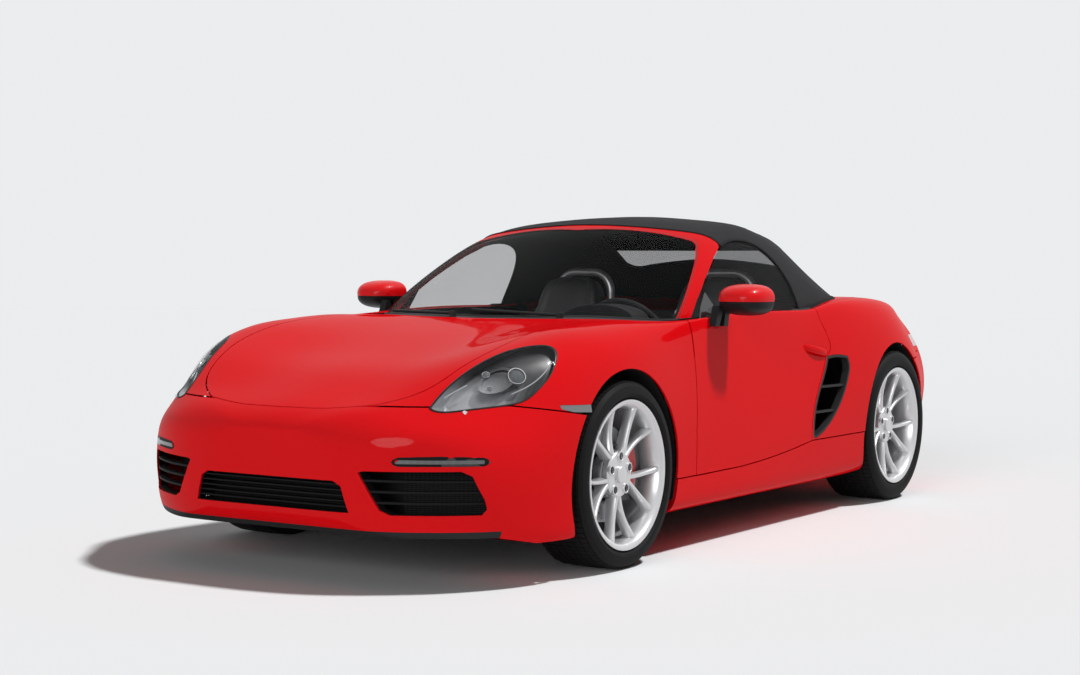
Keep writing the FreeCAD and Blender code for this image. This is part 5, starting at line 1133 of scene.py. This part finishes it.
@dataclass
class SoftTop:
    """Stretched roof cloth with its hem, its double seams and the lining under it."""

    shop: Workshop
    core_z: float = 0.80
    cloth_thickness: float = 0.004
    hem_radius: float = 0.0045
    hem_step: float = 0.012
    seam_radius: float = 0.0016
    seam_reach: float = 0.52
    seam_steps: int = 14
    seam_shift: float = 0.004
    seam_lift: float = 0.0004
    bow_stations: tuple[float, ...] = (-0.02, 0.36, 0.72)
    sag: float = 0.004
    sag_reach: float = 0.50
    sag_low_z: float = 1.05
    edge_lengths: tuple[float, ...] = (0.10, 0.06, 0.035)
    lining_drop: float = 0.012

    def _skin(self) -> bmesh.types.BMesh:
        """Outer skin of the roof, finer and drawn in a little between its bows."""
        bm = outward_skin(self.shop.node("soft_top").data, self.core_z)
        for longest in self.edge_lengths:
            long_edges = [edge for edge in bm.edges if edge.calc_length() > longest]
            bmesh.ops.subdivide_edges(bm, edges=long_edges, cuts=1)
            bmesh.ops.triangulate(bm, faces=bm.faces)
        for vert in bm.verts:
            if (not vert.is_boundary and abs(vert.co.x) <= self.sag_reach
                    and vert.co.z >= self.sag_low_z):
                vert.co.z -= self._sag_at(vert.co.x, vert.co.y)
        return bm

    def _sag_at(self, x: float, y: float) -> float:
        """How far the cloth hangs under the line from bow to bow."""
        for start, end in zip(self.bow_stations, self.bow_stations[1:]):
            if start < y < end:
                share = (y - start) / (end - start)
                edge_fade = 1.0 - (abs(x) / self.sag_reach) ** 3
                return self.sag * math.sin(math.pi * share) ** 2 * edge_fade
        return 0.0

    def _seam(self, tree: BVHTree, station: float) -> bmesh.types.BMesh:
        """Raised double seam across the roof over one bow."""
        lines = []
        for shift in (-self.seam_shift, self.seam_shift):
            points = []
            for step in range(-self.seam_steps, self.seam_steps + 1):
                x = self.seam_reach * step / self.seam_steps
                found = tree.ray_cast(Vector((x, station + shift, 2.0)), Vector((0, 0, -1)))
                if found[0] is not None:
                    points.append(found[0] + Vector((0, 0, self.seam_lift)))
            lines.append(tube(points, self.seam_radius, sides=6))
        return joined(lines)

    def build(self) -> None:
        """Make the cloth and what is sewn to it."""
        finish = self.shop.finish
        bm = self._skin()
        area = sum(face.calc_area() for face in bm.faces)
        tree = BVHTree.FromBMesh(bm)
        hems = [tube(thinned(line, self.hem_step), self.hem_radius, sides=8)
                for line in rim_loops(bm)]
        seams = [self._seam(tree, station) for station in self.bow_stations[1:]]
        cloth = self.shop.piece("roof_canopy", bm, finish.cloth, "body", "roof_fabric", 40.0)
        thick = cloth.modifiers.new("cloth", "SOLIDIFY")
        thick.thickness = self.cloth_thickness
        thick.offset = -1.0
        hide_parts("soft_top")
        hem = self.shop.piece("roof_hem", joined(hems), finish.cloth_dark, "body", "roof_fabric")
        seam = self.shop.piece("roof_seams", joined(seams), finish.cloth_dark, "body",
                               "roof_fabric")
        flat = (1.60, max(1.60, area / 1.6))
        lining = outward_skin(self.shop.node("soft_top").data, self.core_z)
        bmesh.ops.translate(lining, vec=(0.0, 0.0, -self.lining_drop), verts=lining.verts)
        self.shop.piece("roof_lining", lining, finish.cabin, "body", "roof_fabric", 40.0)


@dataclass(frozen=True)
class Pad:
    """One padded part of a seat.

    Its line holds (y, z, half width, half depth) rows. The bolsters stand up beside the middle,
    and a sewn channel runs on each side at a share of the half width.
    """

    name: str
    line: tuple[tuple[float, float, float, float], ...]
    bolster: float
    channel: float
    around: int = 28
    side_power: float = 0.55
    face_power: float = 0.70
    bolster_start: float = 0.55
    full_half_width: float = 0.24
    channel_depth: float = 0.012
    channel_width: float = 0.05

    def _ring(self, number: int) -> list[Vector]:
        """Points round the pad at one row."""
        y, z, half, depth = self.line[number]
        before = self.line[max(0, number - 1)]
        after = self.line[min(len(self.line) - 1, number + 1)]
        run = Vector((0.0, after[0] - before[0], after[1] - before[1])).normalized()
        front = Vector((1, 0, 0)).cross(run)
        ring = []
        for step in range(self.around):
            turn = 2 * math.pi * step / self.around
            flat = signed_power(math.cos(turn), self.side_power)
            deep = signed_power(math.sin(turn), self.face_power)
            lift = depth * deep
            if deep > 0:
                rise = max(0.0, abs(flat) - self.bolster_start) / (1.0 - self.bolster_start)
                lift += self.bolster * rise ** 1.5 * half / self.full_half_width
                away = (abs(flat) - self.channel) / self.channel_width
                lift -= self.channel_depth * math.exp(-away ** 2)
            ring.append(Vector((flat * half, y, z)) + front * lift)
        return ring

    def mesh(self) -> bmesh.types.BMesh:
        """Closed crowned form of the pad."""
        return lofted([self._ring(number) for number in range(len(self.line))])


SEAT_BACK = Pad("seat_back", (
    (0.235, 0.330, 0.185, 0.070), (0.240, 0.400, 0.235, 0.090), (0.262, 0.500, 0.247, 0.098),
    (0.292, 0.600, 0.246, 0.096), (0.318, 0.700, 0.240, 0.090), (0.338, 0.780, 0.215, 0.080),
    (0.352, 0.840, 0.172, 0.072), (0.366, 0.900, 0.158, 0.070), (0.382, 0.960, 0.148, 0.064),
    (0.396, 1.005, 0.120, 0.050), (0.402, 1.022, 0.070, 0.026)), 0.042, 0.60)
SEAT_CUSHION = Pad("seat_cushion", (
    (-0.196, 0.318, 0.190, 0.060), (-0.170, 0.315, 0.228, 0.075), (-0.080, 0.308, 0.240, 0.078),
    (0.020, 0.300, 0.244, 0.078), (0.110, 0.296, 0.242, 0.078), (0.190, 0.296, 0.235, 0.072),
    (0.232, 0.300, 0.190, 0.055)), 0.030, 0.62)


@dataclass
class FrontSeat:
    """Sport seat: cushion and backrest with side bolsters, sewn channels and a headrest."""

    shop: Workshop
    side: Side
    middle_x: float = 0.365
    base_low: Point = (-0.20, -0.17, 0.178)
    base_high: Point = (0.20, 0.26, 0.243)
    base_edge: float = 0.012

    def _base(self) -> bmesh.types.BMesh:
        """Moulded plinth under the cushion."""
        (x0, y0, z0), (x1, y1, z1) = self.base_low, self.base_high
        corners = [(x0, y0, z0), (x1, y0, z0), (x1, y1, z0), (x0, y1, z0)]
        return softened(prism(corners, (0, 0, z1 - z0)), self.base_edge, 3)

    def build(self) -> None:
        """Make the seat of this side."""
        finish = self.shop.finish
        place = Matrix.Translation((self.middle_x * self.side.value, 0, 0))
        for pad in (SEAT_BACK, SEAT_CUSHION):
            made = self.shop.piece(f"{pad.name}_{self.side.word}", moved(pad.mesh(), place),
                                   finish.leather, "body", "seat_leather", 60.0)
            smooth = made.modifiers.new("crown", "SUBSURF")
            smooth.levels = smooth.render_levels = 2
            if self.side is Side.LEFT and pad is SEAT_BACK:
                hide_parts("seats")
        self.shop.piece(f"seat_base_{self.side.word}", moved(self._base(), place), finish.cabin,
                        "body", "interior_black")


@dataclass
class DoorMirror:
    """Glass and bezel of one door mirror."""

    shop: Workshop
    side: Side
    middle: Point = (0.8945, -0.345, 0.948)
    half_width: float = 0.0925
    half_height: float = 0.0535
    bezel_grow: float = 0.004
    bezel_depth: float = 0.005
    bezel_start: float = 0.002
    glass_depth: float = 0.0045
    corners: float = 0.72
    steps: int = 40

    def _oval(self, grow: float, start: float, depth: float) -> bmesh.types.BMesh:
        """Rounded plate facing back along the car."""
        points = []
        for step in range(self.steps):
            turn = 2 * math.pi * step / self.steps
            x = signed_power(math.cos(turn), self.corners) * (self.half_width + grow)
            z = signed_power(math.sin(turn), self.corners) * (self.half_height + grow)
            points.append((self.middle[0] + x, self.middle[1] - start, self.middle[2] + z))
        return prism(points, (0, depth, 0))

    def build(self) -> None:
        """Make the pieces on the head's flat side."""
        finish = self.shop.finish
        bezel = softened(self._oval(self.bezel_grow, self.bezel_start, self.bezel_depth), 0.0015)
        glass = softened(self._oval(0.0, 0.0, self.glass_depth), 0.0008)
        for name, bm, material, slot in (("mirror_bezel", bezel, finish.gloss, "trim_gloss"),
                                         ("mirror_glass", glass, finish.chrome, "glass_dark")):
            placed = on_side(bm, self.side, Vector((0, 0, 0)))
            self.shop.piece(f"{name}_{self.side.word}", placed, material,
                            f"door_{self.side.word}", slot)


@dataclass
class DoorTrim:
    """Pull handle, glass seal and corner cover of one door."""

    shop: Workshop
    side: Side
    handle: tuple[Point, Point] = ((0.300, 0.738), (0.500, 0.704))
    handle_rings: int = 14
    handle_sides: int = 12
    grip_depth: float = 0.0075
    grip_sink: float = 0.010
    grip_bow: float = 0.026
    grip_height: float = 0.0115
    grip_swell: float = 0.0055
    spare_x: float = 0.86
    bowl_inset: float = 0.03
    bowl_radius: float = 0.0065
    belt: tuple[float, float] = (-0.500, 0.470)
    belt_steps: int = 32
    belt_x: float = 0.772
    belt_low_z: float = 0.82
    seal_radius: float = 0.0055
    corner: tuple[Point, ...] = ((-0.500, 0.872), (-0.440, 0.925), (-0.375, 0.975),
                                 (-0.370, 0.930), (-0.372, 0.872))
    corner_lift: float = 0.0035
    corner_depth: float = 0.006

    def _on_door(self, tree: BVHTree, y: float, z: float) -> Vector:
        """Point of the door's outer face at a station and height."""
        sign = self.side.value
        return square_on(tree, (1.3 * sign, y, z), (-sign, 0, 0), (self.spare_x * sign, y, z))

    def _handle(self, tree: BVHTree) -> bmesh.types.BMesh:
        """Grip lofted along the door, with both ends sunk into the panel."""
        (y0, z0), (y1, z1) = self.handle
        rings = []
        for number in range(self.handle_rings + 1):
            share = number / self.handle_rings
            spot = self._on_door(tree, y0 + share * (y1 - y0), z0 + share * (z1 - z0))
            bulge = math.sin(math.pi * share) ** 0.45
            reach = self.grip_bow * bulge - self.grip_sink
            centre = spot + Vector((self.side.value * reach, 0, 0))
            tall = self.grip_height + self.grip_swell * bulge
            ring = []
            for step in range(self.handle_sides):
                turn = 2 * math.pi * step / self.handle_sides
                ring.append(centre + Vector((self.grip_depth * math.cos(turn), 0,
                                             tall * math.sin(turn))))
            rings.append(ring)
        return lofted(rings)

    def _bowl(self, tree: BVHTree) -> bmesh.types.BMesh:
        """Dark red tube behind the grip: painted shade where the hollow in the door would be."""
        (y0, z0), (y1, z1) = self.handle
        reach = y1 - y0 - 2 * self.bowl_inset
        points = [self._on_door(tree, y0 + self.bowl_inset + reach * step / 8,
                                z0 + (z1 - z0) * step / 8 - 0.004)
                  for step in range(9)]
        return tube(points, self.bowl_radius)

    def _belt_seal(self, tree: BVHTree) -> bmesh.types.BMesh:
        """Seal along the door's top edge beside the glass."""
        start, end = self.belt
        points = []
        for step in range(self.belt_steps + 1):
            y = start + (end - start) * step / self.belt_steps
            found = tree.ray_cast(Vector((self.belt_x * self.side.value, y, 1.2)),
                                  Vector((0, 0, -1)))
            if found[0] is not None and found[0].z > self.belt_low_z:
                points.append(found[0] + Vector((0.004 * self.side.value, 0, 0.001)))
        return tube(points, self.seal_radius)

    def _corner_cover(self) -> bmesh.types.BMesh:
        """Black plate over the glass's lower front corner."""
        sign = self.side.value
        glass = self.shop.surface([f"door_glass_{self.side.word}"])
        points = []
        for y, z in self.corner:
            spot = square_on(glass, (1.3 * sign, y, z), (-sign, 0, 0), (0.75 * sign, y, z))
            points.append((spot.x + self.corner_lift * sign, y, z))
        return prism(points, (-self.corner_depth * sign, 0, 0))

    def build(self) -> None:
        """Make the pieces of this door."""
        finish = self.shop.finish
        word = self.side.word
        body = f"door_{word}"
        tree = self.shop.surface([body])
        self.shop.piece(f"door_handle_{word}", self._handle(tree), finish.paint, body,
                        "paint_red", 60.0)
        # The handle's shadow piece is a dark red tube: painted shade in the hollow behind the grip.
        self.shop.piece(f"handle_shadow_{word}", self._bowl(tree), finish.paint_deep, body,
                        "paint_red", 60.0)
        self.shop.piece(f"window_seal_{word}", self._belt_seal(tree), finish.seal, body,
                        "trim_black")
        self.shop.piece(f"window_corner_{word}", self._corner_cover(), finish.gloss, body,
                        "trim_gloss", 20.0)


@dataclass
class LampInsides:
    """Projector, reflectors and light strips behind one headlamp lens.

    Each lamp is (x, z, scale) and each strip a line of (x, z), as seen from the front.
    """

    shop: Workshop
    side: Side
    lamps: tuple[Point, ...] = ((0.7195, 0.710, 1.0), (0.640, 0.716, 0.42),
                                (0.672, 0.668, 0.34))
    strips: tuple[tuple[Point, ...], ...] = (
        ((0.776, 0.742), (0.778, 0.7165), (0.767, 0.6865), (0.748, 0.6632), (0.727, 0.6490)),
        ((0.566, 0.640), (0.585, 0.662), (0.608, 0.680)))
    lamp_depth: float = 0.0075
    extra_depth: float = 0.003
    strip_depth: float = 0.007
    strip_radius: float = 0.0024
    ring: tuple[Point, ...] = ((-0.010, 0.0310), (-0.001, 0.0325), (0.0012, 0.0315),
                               (0.0, 0.0285), (-0.010, 0.0270))
    dome: tuple[Point, ...] = ((-0.012, 0.0265), (-0.004, 0.0262), (0.0005, 0.0200),
                               (0.0030, 0.0110), (0.0038, 0.0))

    def _below(self, tree: BVHTree, x: float, z: float, depth: float) -> tuple[Vector, Vector]:
        """Point under the lens at a place seen from the front, and the lens's direction."""
        found = tree.ray_cast(Vector((x * self.side.value, -3.0, z)), Vector((0, 1, 0)))
        if found[0] is None:
            return Vector((x * self.side.value, -1.75, z)), Vector((0, -1, 0))
        outward = found[1] if found[1].y < 0 else -found[1]
        return found[0] - outward * depth, outward

    def _facing(self, bm: bmesh.types.BMesh, place: Vector, outward: Vector,
                scale: float) -> bmesh.types.BMesh:
        """Turn a mesh drawn along +X to look out of the lamp."""
        turn = outward.to_track_quat("X", "Z").to_matrix().to_4x4()
        return moved(bm, Matrix.Translation(place) @ turn @ Matrix.Scale(scale, 4))

    def build(self) -> None:
        """Make the pieces of this lamp."""
        finish = self.shop.finish
        tree = self.shop.surface(["headlamp_lenses"])
        rings, domes = [], []
        for x, z, scale in self.lamps:
            depth = self.lamp_depth + self.extra_depth * scale
            place, outward = self._below(tree, x, z, depth)
            rings.append(self._facing(spun(self.ring, 56), place, outward, scale))
            domes.append(self._facing(spun(self.dome, 48, closed=False), place, outward, scale))
        strips = []
        for line in self.strips:
            points = [self._below(tree, x, z, self.strip_depth)[0] for x, z in line]
            strips.append(tube(points, self.strip_radius, sides=8))
        word = self.side.word
        self.shop.piece(f"lamp_rings_{word}", joined(rings), finish.chrome, "body", "lamp_shell")
        self.shop.piece(f"lamp_domes_{word}", joined(domes), finish.bulb, "body", "clear_lens")
        self.shop.piece(f"lamp_strips_{word}", joined(strips), finish.lamp_grey, "body",
                        "lamp_shell")


@dataclass
class NoseTrim:
    """Black surround of the day lamp, lens seal, washer cap and cooler core of one side."""

    shop: Workshop
    side: Side
    outer: tuple[Point, ...] = (
        (0.4803, 0.4309), (0.4860, 0.4400), (0.5015, 0.4475), (0.5600, 0.4500),
        (0.6202, 0.4515), (0.6800, 0.4500), (0.7268, 0.4470), (0.7370, 0.4410),
        (0.7397, 0.4340), (0.7385, 0.4250), (0.7310, 0.4190), (0.6800, 0.4180),
        (0.6210, 0.4180), (0.5600, 0.4175), (0.5017, 0.4170), (0.4870, 0.4220))
    middle: Point = (0.6115, 0.4325)
    bar_half_height: float = 0.0068
    inner_width: float = 0.93
    steps: tuple[Point, ...] = ((1.0, -0.003), (1.0, 0.0008), (0.97, 0.0014), (0.0, 0.0010),
                                (0.0, -0.003))
    lens_way: Point = (0.4, -0.8, 0.5)
    lens_share: float = 0.25
    seal_step: float = 0.010
    seal_radius: float = 0.0032
    washer: Point = (0.6427, 0.5891)
    washer_sink: float = 0.004
    cap: tuple[Point, ...] = ((-0.004, 0.0), (-0.004, 0.0085), (0.003, 0.0085),
                              (0.0055, 0.0065), (0.0062, 0.0))
    core_inner: Point = (0.440, -2.010)
    core_outer: Point = (0.700, -1.860)
    core_heights: tuple[float, float] = (0.245, 0.395)

    def _ahead(self, tree: BVHTree, x: float, z: float, lift: float) -> Vector:
        """Point on the nose at a place seen from the front, moved forward by a lift."""
        x *= self.side.value
        return square_on(tree, (x, -3.0, z), (0, 1, 0), (x, -2.0, z)) - Vector((0, lift, 0))

    def _surround(self, tree: BVHTree) -> bmesh.types.BMesh:
        """Flat band round the day lamp's light bar, sunk into the bumper's face."""
        bm = bmesh.new()
        middle_x, middle_z = self.middle
        tall = self.bar_half_height
        rings = []
        for share, lift in self.steps:
            ring = []
            for x, z in self.outer:
                width = self.inner_width + (1.0 - self.inner_width) * share
                near_x = middle_x + (x - middle_x) * width
                low_z = middle_z + max(-tall, min(tall, z - middle_z))
                near_z = low_z + (z - low_z) * share
                ring.append(bm.verts.new(self._ahead(tree, near_x, near_z, lift)))
            rings.append(ring)
        count = len(self.outer)
        for first, second in zip(rings, rings[1:] + rings[:1]):
            for i in range(count):
                j = (i + 1) % count
                bm.faces.new((first[i], first[j], second[j], second[i]))
        return bm

    def _lens_seal(self) -> bmesh.types.BMesh:
        """Seal round the headlamp lens, along the rim of its outer faces."""
        x, y, z = self.lens_way
        way = Vector((x * self.side.value, y, z))
        lens = bmesh.new()
        lens.from_mesh(self.shop.node("headlamp_lenses").data)
        bmesh.ops.remove_doubles(lens, verts=lens.verts, dist=0.00005)
        drop = [face for face in lens.faces
                if face.calc_center_median().x * self.side.value <= 0
                or face.normal.dot(way) <= self.lens_share]
        bmesh.ops.delete(lens, geom=drop, context="FACES")
        rim = rim_loops(lens, 0.5)[0]
        lens.free()
        return tube(thinned(rim, self.seal_step), self.seal_radius, sides=8)

    def build(self) -> None:
        """Make the pieces of this side of the nose."""
        finish = self.shop.finish
        word = self.side.word
        bumper = self.shop.surface(["front_bumper", "front_lamps"])
        self.shop.piece(f"day_lamp_surround_{word}", self._surround(bumper), finish.intake,
                        "body", "trim_gloss")
        self.shop.piece(f"lens_seal_{word}", self._lens_seal(), finish.seal, "body",
                        "trim_black")
        place = self._ahead(bumper, *self.washer, -self.washer_sink)
        turn = Matrix.Rotation(math.radians(-90), 4, "Z")
        cap = moved(spun(self.cap, 28, closed=False), Matrix.Translation(place) @ turn)
        self.shop.piece(f"washer_cap_{word}", cap, finish.chrome, "body", "lamp_shell")
        (x0, y0), (x1, y1) = self.core_inner, self.core_outer
        x0, x1 = x0 * self.side.value, x1 * self.side.value
        cooler_core(self.shop, word, (x0, y0), (x1, y1), self.core_heights)


def cooler_core(shop: Workshop, word: str, start: Point, end: Point,
                heights: tuple[float, float], depth: float = 0.012) -> None:
    """Upright finned plate behind an air intake.

    Args:
        shop: the workshop.
        word: what the piece's name ends with.
        start: plan point (x, y) of one end.
        end: plan point of the other end.
        heights: low and high edge.
        depth: thickness along the car.
    """
    low, high = heights
    outline = [(*start, low), (*end, low), (*end, high), (*start, high)]
    shop.piece(f"cooler_core_{word}", prism(outline, (0, depth, 0)), shop.finish.core, "body",
               "trim_black")


@dataclass
class ScreenTrim:
    """Black seals along the edges of the windscreen and of the rear window."""

    shop: Workshop
    seals: tuple[tuple[str, str, float], ...] = (
        ("windscreen", "windscreen_seal", 0.0055), ("rear_window", "rear_window_seal", 0.0045))
    core_z: float = 0.30
    share: float = 0.10
    step: float = 0.014

    def build(self) -> None:
        """Make the seals along the glasses' own edges."""
        for node, name, radius in self.seals:
            bm = outward_skin(self.shop.node(node).data, self.core_z, self.share)
            rim = rim_loops(bm, 1.0)[0]
            bm.free()
            self.shop.piece(name, tube(thinned(rim, self.step), radius, sides=8),
                            self.shop.finish.seal, "body", "trim_black")


@dataclass
class Cabin:
    """Instrument hood, gauges, vents and shift lever that show through the windscreen."""

    shop: Workshop
    wheel_x: float = 0.365
    hood_start: Point = (-0.640, 0.852)
    hood_half_width: float = 0.17
    hood_height: float = 0.075
    hood_depth: float = 0.130
    dial_place: Point = (-0.512, 0.872)
    dials: tuple[tuple[float, float], ...] = ((-0.095, 0.038), (0.0, 0.050), (0.095, 0.038))
    vent_places: tuple[float, ...] = (-0.60, -0.10, 0.10, 0.62)
    vent_start: Point = (-0.497, 0.775)
    vent_half_width: float = 0.045
    vent_pitch: float = 0.012
    vent_height: float = 0.006
    vent_depth: float = 0.018
    vent_rows: int = 4
    lever_place: Point = (0.0, -0.180, 0.440)
    lever: tuple[Point, ...] = ((0.0, 0.0), (0.0, 0.030), (0.010, 0.022), (0.060, 0.010),
                                (0.070, 0.020), (0.095, 0.023), (0.105, 0.016), (0.108, 0.0))

    def _hood(self) -> bmesh.types.BMesh:
        """Arched hood over the gauges."""
        y, z = self.hood_start
        arch = []
        for degrees in range(0, 181, 12):
            turn = math.radians(degrees)
            arch.append((self.wheel_x + self.hood_half_width * math.cos(turn), y,
                         z + self.hood_height * max(0.0, math.sin(turn)) ** 0.8))
        return softened(prism(arch, (0, self.hood_depth, 0)), 0.006, 2)

    def _dials(self) -> bmesh.types.BMesh:
        """Three round gauges with raised rims."""
        turn = Matrix.Rotation(math.radians(90), 4, "Z")
        made = []
        for shift, radius in self.dials:
            dial = spun([(0.0, 0.0), (0.0, radius), (0.006, radius), (0.008, radius - 0.004),
                         (0.003, radius - 0.006), (0.003, 0.0)], 40, closed=False)
            place = Matrix.Translation((self.wheel_x + shift, *self.dial_place))
            made.append(moved(dial, place @ turn))
        return joined(made)

    def _vents(self) -> bmesh.types.BMesh:
        """Rows of slats in the dashboard."""
        y, z = self.vent_start
        slats = []
        for x in self.vent_places:
            left, right = x - self.vent_half_width, x + self.vent_half_width
            for row in range(self.vent_rows):
                low = z + self.vent_pitch * row
                high = low + self.vent_height
                outline = [(left, y, low), (right, y, low), (right, y, high), (left, y, high)]
                slats.append(prism(outline, (0, self.vent_depth, 0)))
        return joined(slats)

    def build(self) -> None:
        """Make the cabin's small forms."""
        finish = self.shop.finish
        self.shop.piece("instrument_hood", self._hood(), finish.cabin, "body", "interior_black")
        self.shop.piece("instrument_dials", self._dials(), finish.gloss, "body",
                        "interior_black")
        self.shop.piece("cabin_vents", self._vents(), finish.gloss, "body", "interior_black")
        upright = Matrix.Rotation(math.radians(-90), 4, "Y")
        place = Matrix.Translation(self.lever_place) @ upright
        lever = moved(spun(self.lever, 32, closed=False), place)
        self.shop.piece("shift_lever", lever, finish.cabin, "body", "interior_black")


@dataclass(frozen=True)
class FarLight:
    """A far light: where it comes from, from +X toward +Y and over the floor, and its width."""

    name: str
    turn: float
    lift: float
    width: float
    strength: float

    def build(self) -> None:
        """Put the light in the scene."""
        data = bpy.data.lights.new(self.name, "SUN")
        data.energy = self.strength
        data.angle = math.radians(self.width)
        made = bpy.data.objects.new(self.name, data)
        turn, lift = math.radians(self.turn), math.radians(self.lift)
        towards = Vector((math.cos(turn) * math.cos(lift), math.sin(turn) * math.cos(lift),
                          math.sin(lift)))
        made.rotation_euler = (-towards).to_track_quat("-Z", "Y").to_euler()
        made.location = towards * 10.0
        bpy.context.scene.collection.objects.link(made)


@dataclass
class Studio:
    """Pale floor and surroundings, two far lights and the camera of the photograph."""

    eye: Point = (4.16512, -7.00482, 1.06728)
    right: Point = (0.84248801, 0.53868248, 0.00592837)
    up: Point = (-0.02491913, 0.0279754, 0.99929796)
    view: Point = (-0.53813845, 0.84204428, -0.03699243)
    lens_mm: float = 62.36
    sensor_mm: float = 36.0
    far_end: float = 200.0
    floor_radius: float = 40.0
    floor_colour: Point = (0.790, 0.803, 0.811)
    around: float = 0.12
    backdrop: Point = (0.83, 0.845, 0.855)

    def camera(self) -> None:
        """Stand the camera where the photograph was taken from."""
        data = bpy.data.cameras.new("camera")
        data.lens = self.lens_mm
        data.sensor_width = self.sensor_mm
        data.clip_end = self.far_end
        made = bpy.data.objects.new("camera", data)
        axes = Matrix((self.right, self.up, [-value for value in self.view])).transposed()
        made.matrix_world = Matrix.Translation(self.eye) @ axes.to_4x4()
        bpy.context.scene.collection.objects.link(made)
        bpy.context.scene.camera = made

    def ground(self) -> None:
        """Round pale floor that shows as the background to the camera and takes the shadow."""
        bm = bmesh.new()
        bmesh.ops.create_circle(bm, cap_ends=True, segments=96, radius=self.floor_radius)
        mesh = bpy.data.meshes.new("studio_floor")
        bm.to_mesh(mesh)
        bm.free()
        shader = Shader("studio_floor")
        shader.put("Base Color", self.floor_colour)
        shader.put("Roughness", 0.9)
        shader.put("Specular IOR Level", 0.0)
        mesh.materials.append(shader.material)
        made = bpy.data.objects.new("studio_floor", mesh)
        bpy.context.scene.collection.objects.link(made)

    def world(self) -> None:
        """Surroundings: dim light on the car, near white to the camera and in reflections."""
        world = bpy.data.worlds.new("studio")
        bpy.context.scene.world = world
        world.use_nodes = True
        tree = world.node_tree
        tree.nodes.clear()
        path = tree.nodes.new("ShaderNodeLightPath")
        shows = Wire(tree, path.outputs["Is Camera Ray"])
        for kind in ("Is Glossy Ray", "Is Transmission Ray"):
            shows = (shows + Wire(tree, path.outputs[kind])).held()
        mixed = tree.nodes.new("ShaderNodeMixShader")
        tree.links.new(shows.socket, mixed.inputs[0])
        for slot, colour in ((1, (self.around,) * 3), (2, self.backdrop)):
            plain = tree.nodes.new("ShaderNodeBackground")
            plain.inputs["Color"].default_value = (*colour, 1.0)
            tree.links.new(plain.outputs[0], mixed.inputs[slot])
        out = tree.nodes.new("ShaderNodeOutputWorld")
        tree.links.new(mixed.outputs[0], out.inputs["Surface"])

    def build(self) -> None:
        """Make the whole studio."""
        self.camera()
        self.ground()
        self.world()
        FarLight("main_light", 40.0, 61.0, 5.0, 3.0).build()
        FarLight("front_light", -82.0, 15.0, 28.0, 1.15).build()
        bpy.context.scene.view_settings.view_transform = "Standard"


def dress_frame(shop: Workshop) -> None:
    """Give every CAD node that stays in sight its finish."""
    finish = shop.finish
    for material, names in (
        (finish.paint, ("front_bumper", "front_fenders", "front_lid", "windscreen_frame",
                        "sills", "rear_quarters", "top_cover", "rear_lid", "rear_bumper")),
        (finish.door, ("door_left", "door_right")),
        (finish.mirror, ("mirror_left", "mirror_right")),
        (finish.intake, ("front_grilles",)),
        (finish.trim, ("front_lip", "cowl_panel", "side_vents", "diffuser", "wheel_liners",
                       "wipers")),
        (finish.screen, ("windscreen",)),
        (finish.window, ("door_glass_left", "door_glass_right")),
        (finish.rear_glass, ("rear_window",)),
        (finish.lens, ("headlamp_lenses",)),
        (finish.bowl, ("headlamps",)),
        (finish.day_lamp, ("front_lamps",)),
        (finish.lamp_red, ("tail_lamps",)),
        (finish.cloth, ("soft_top",)),
        (finish.leather, ("seats",)),
        (finish.cabin, ("dashboard", "steering_wheel")),
        (finish.floor, ("floor_tub", "front_boot_tub", "rear_boot_tub", "engine_bay")),
        (finish.hoop, ("roll_hoops",)),
        (finish.engine, ("engine",)),
        (finish.exhaust, ("tailpipes",)),
        (finish.dark_steel, ("suspension", "knuckle_left", "knuckle_right")),
    ):
        shop.dress(names, material)


def main() -> None:
    """Build the car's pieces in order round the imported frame."""
    logging.basicConfig(level=logging.INFO)
    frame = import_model()
    shop = Workshop(frame, Finishes())
    Studio().build()
    dress_frame(shop)
    sizes = {Axle.FRONT: (0.336, 0.243, 0.226), Axle.REAR: (0.347, 0.272, 0.255)}
    for axle, (radius, width, rim) in sizes.items():
        for side in Side:
            WheelSet(shop, axle, side, radius, width, rim).build()
            BrakeCaliper(shop, axle, side).build()
    SoftTop(shop).build()
    ScreenTrim(shop).build()
    Cabin(shop).build()
    for side in Side:
        for part in (FrontSeat, DoorMirror, DoorTrim, LampInsides, NoseTrim):
            part(shop, side).build()
    cooler_core(shop, "middle", (-0.345, -2.088), (0.345, -2.088), (0.245, 0.375))
    LOG.info("%d pieces made", len(shop.made))


if __name__ == "__main__":
    main()
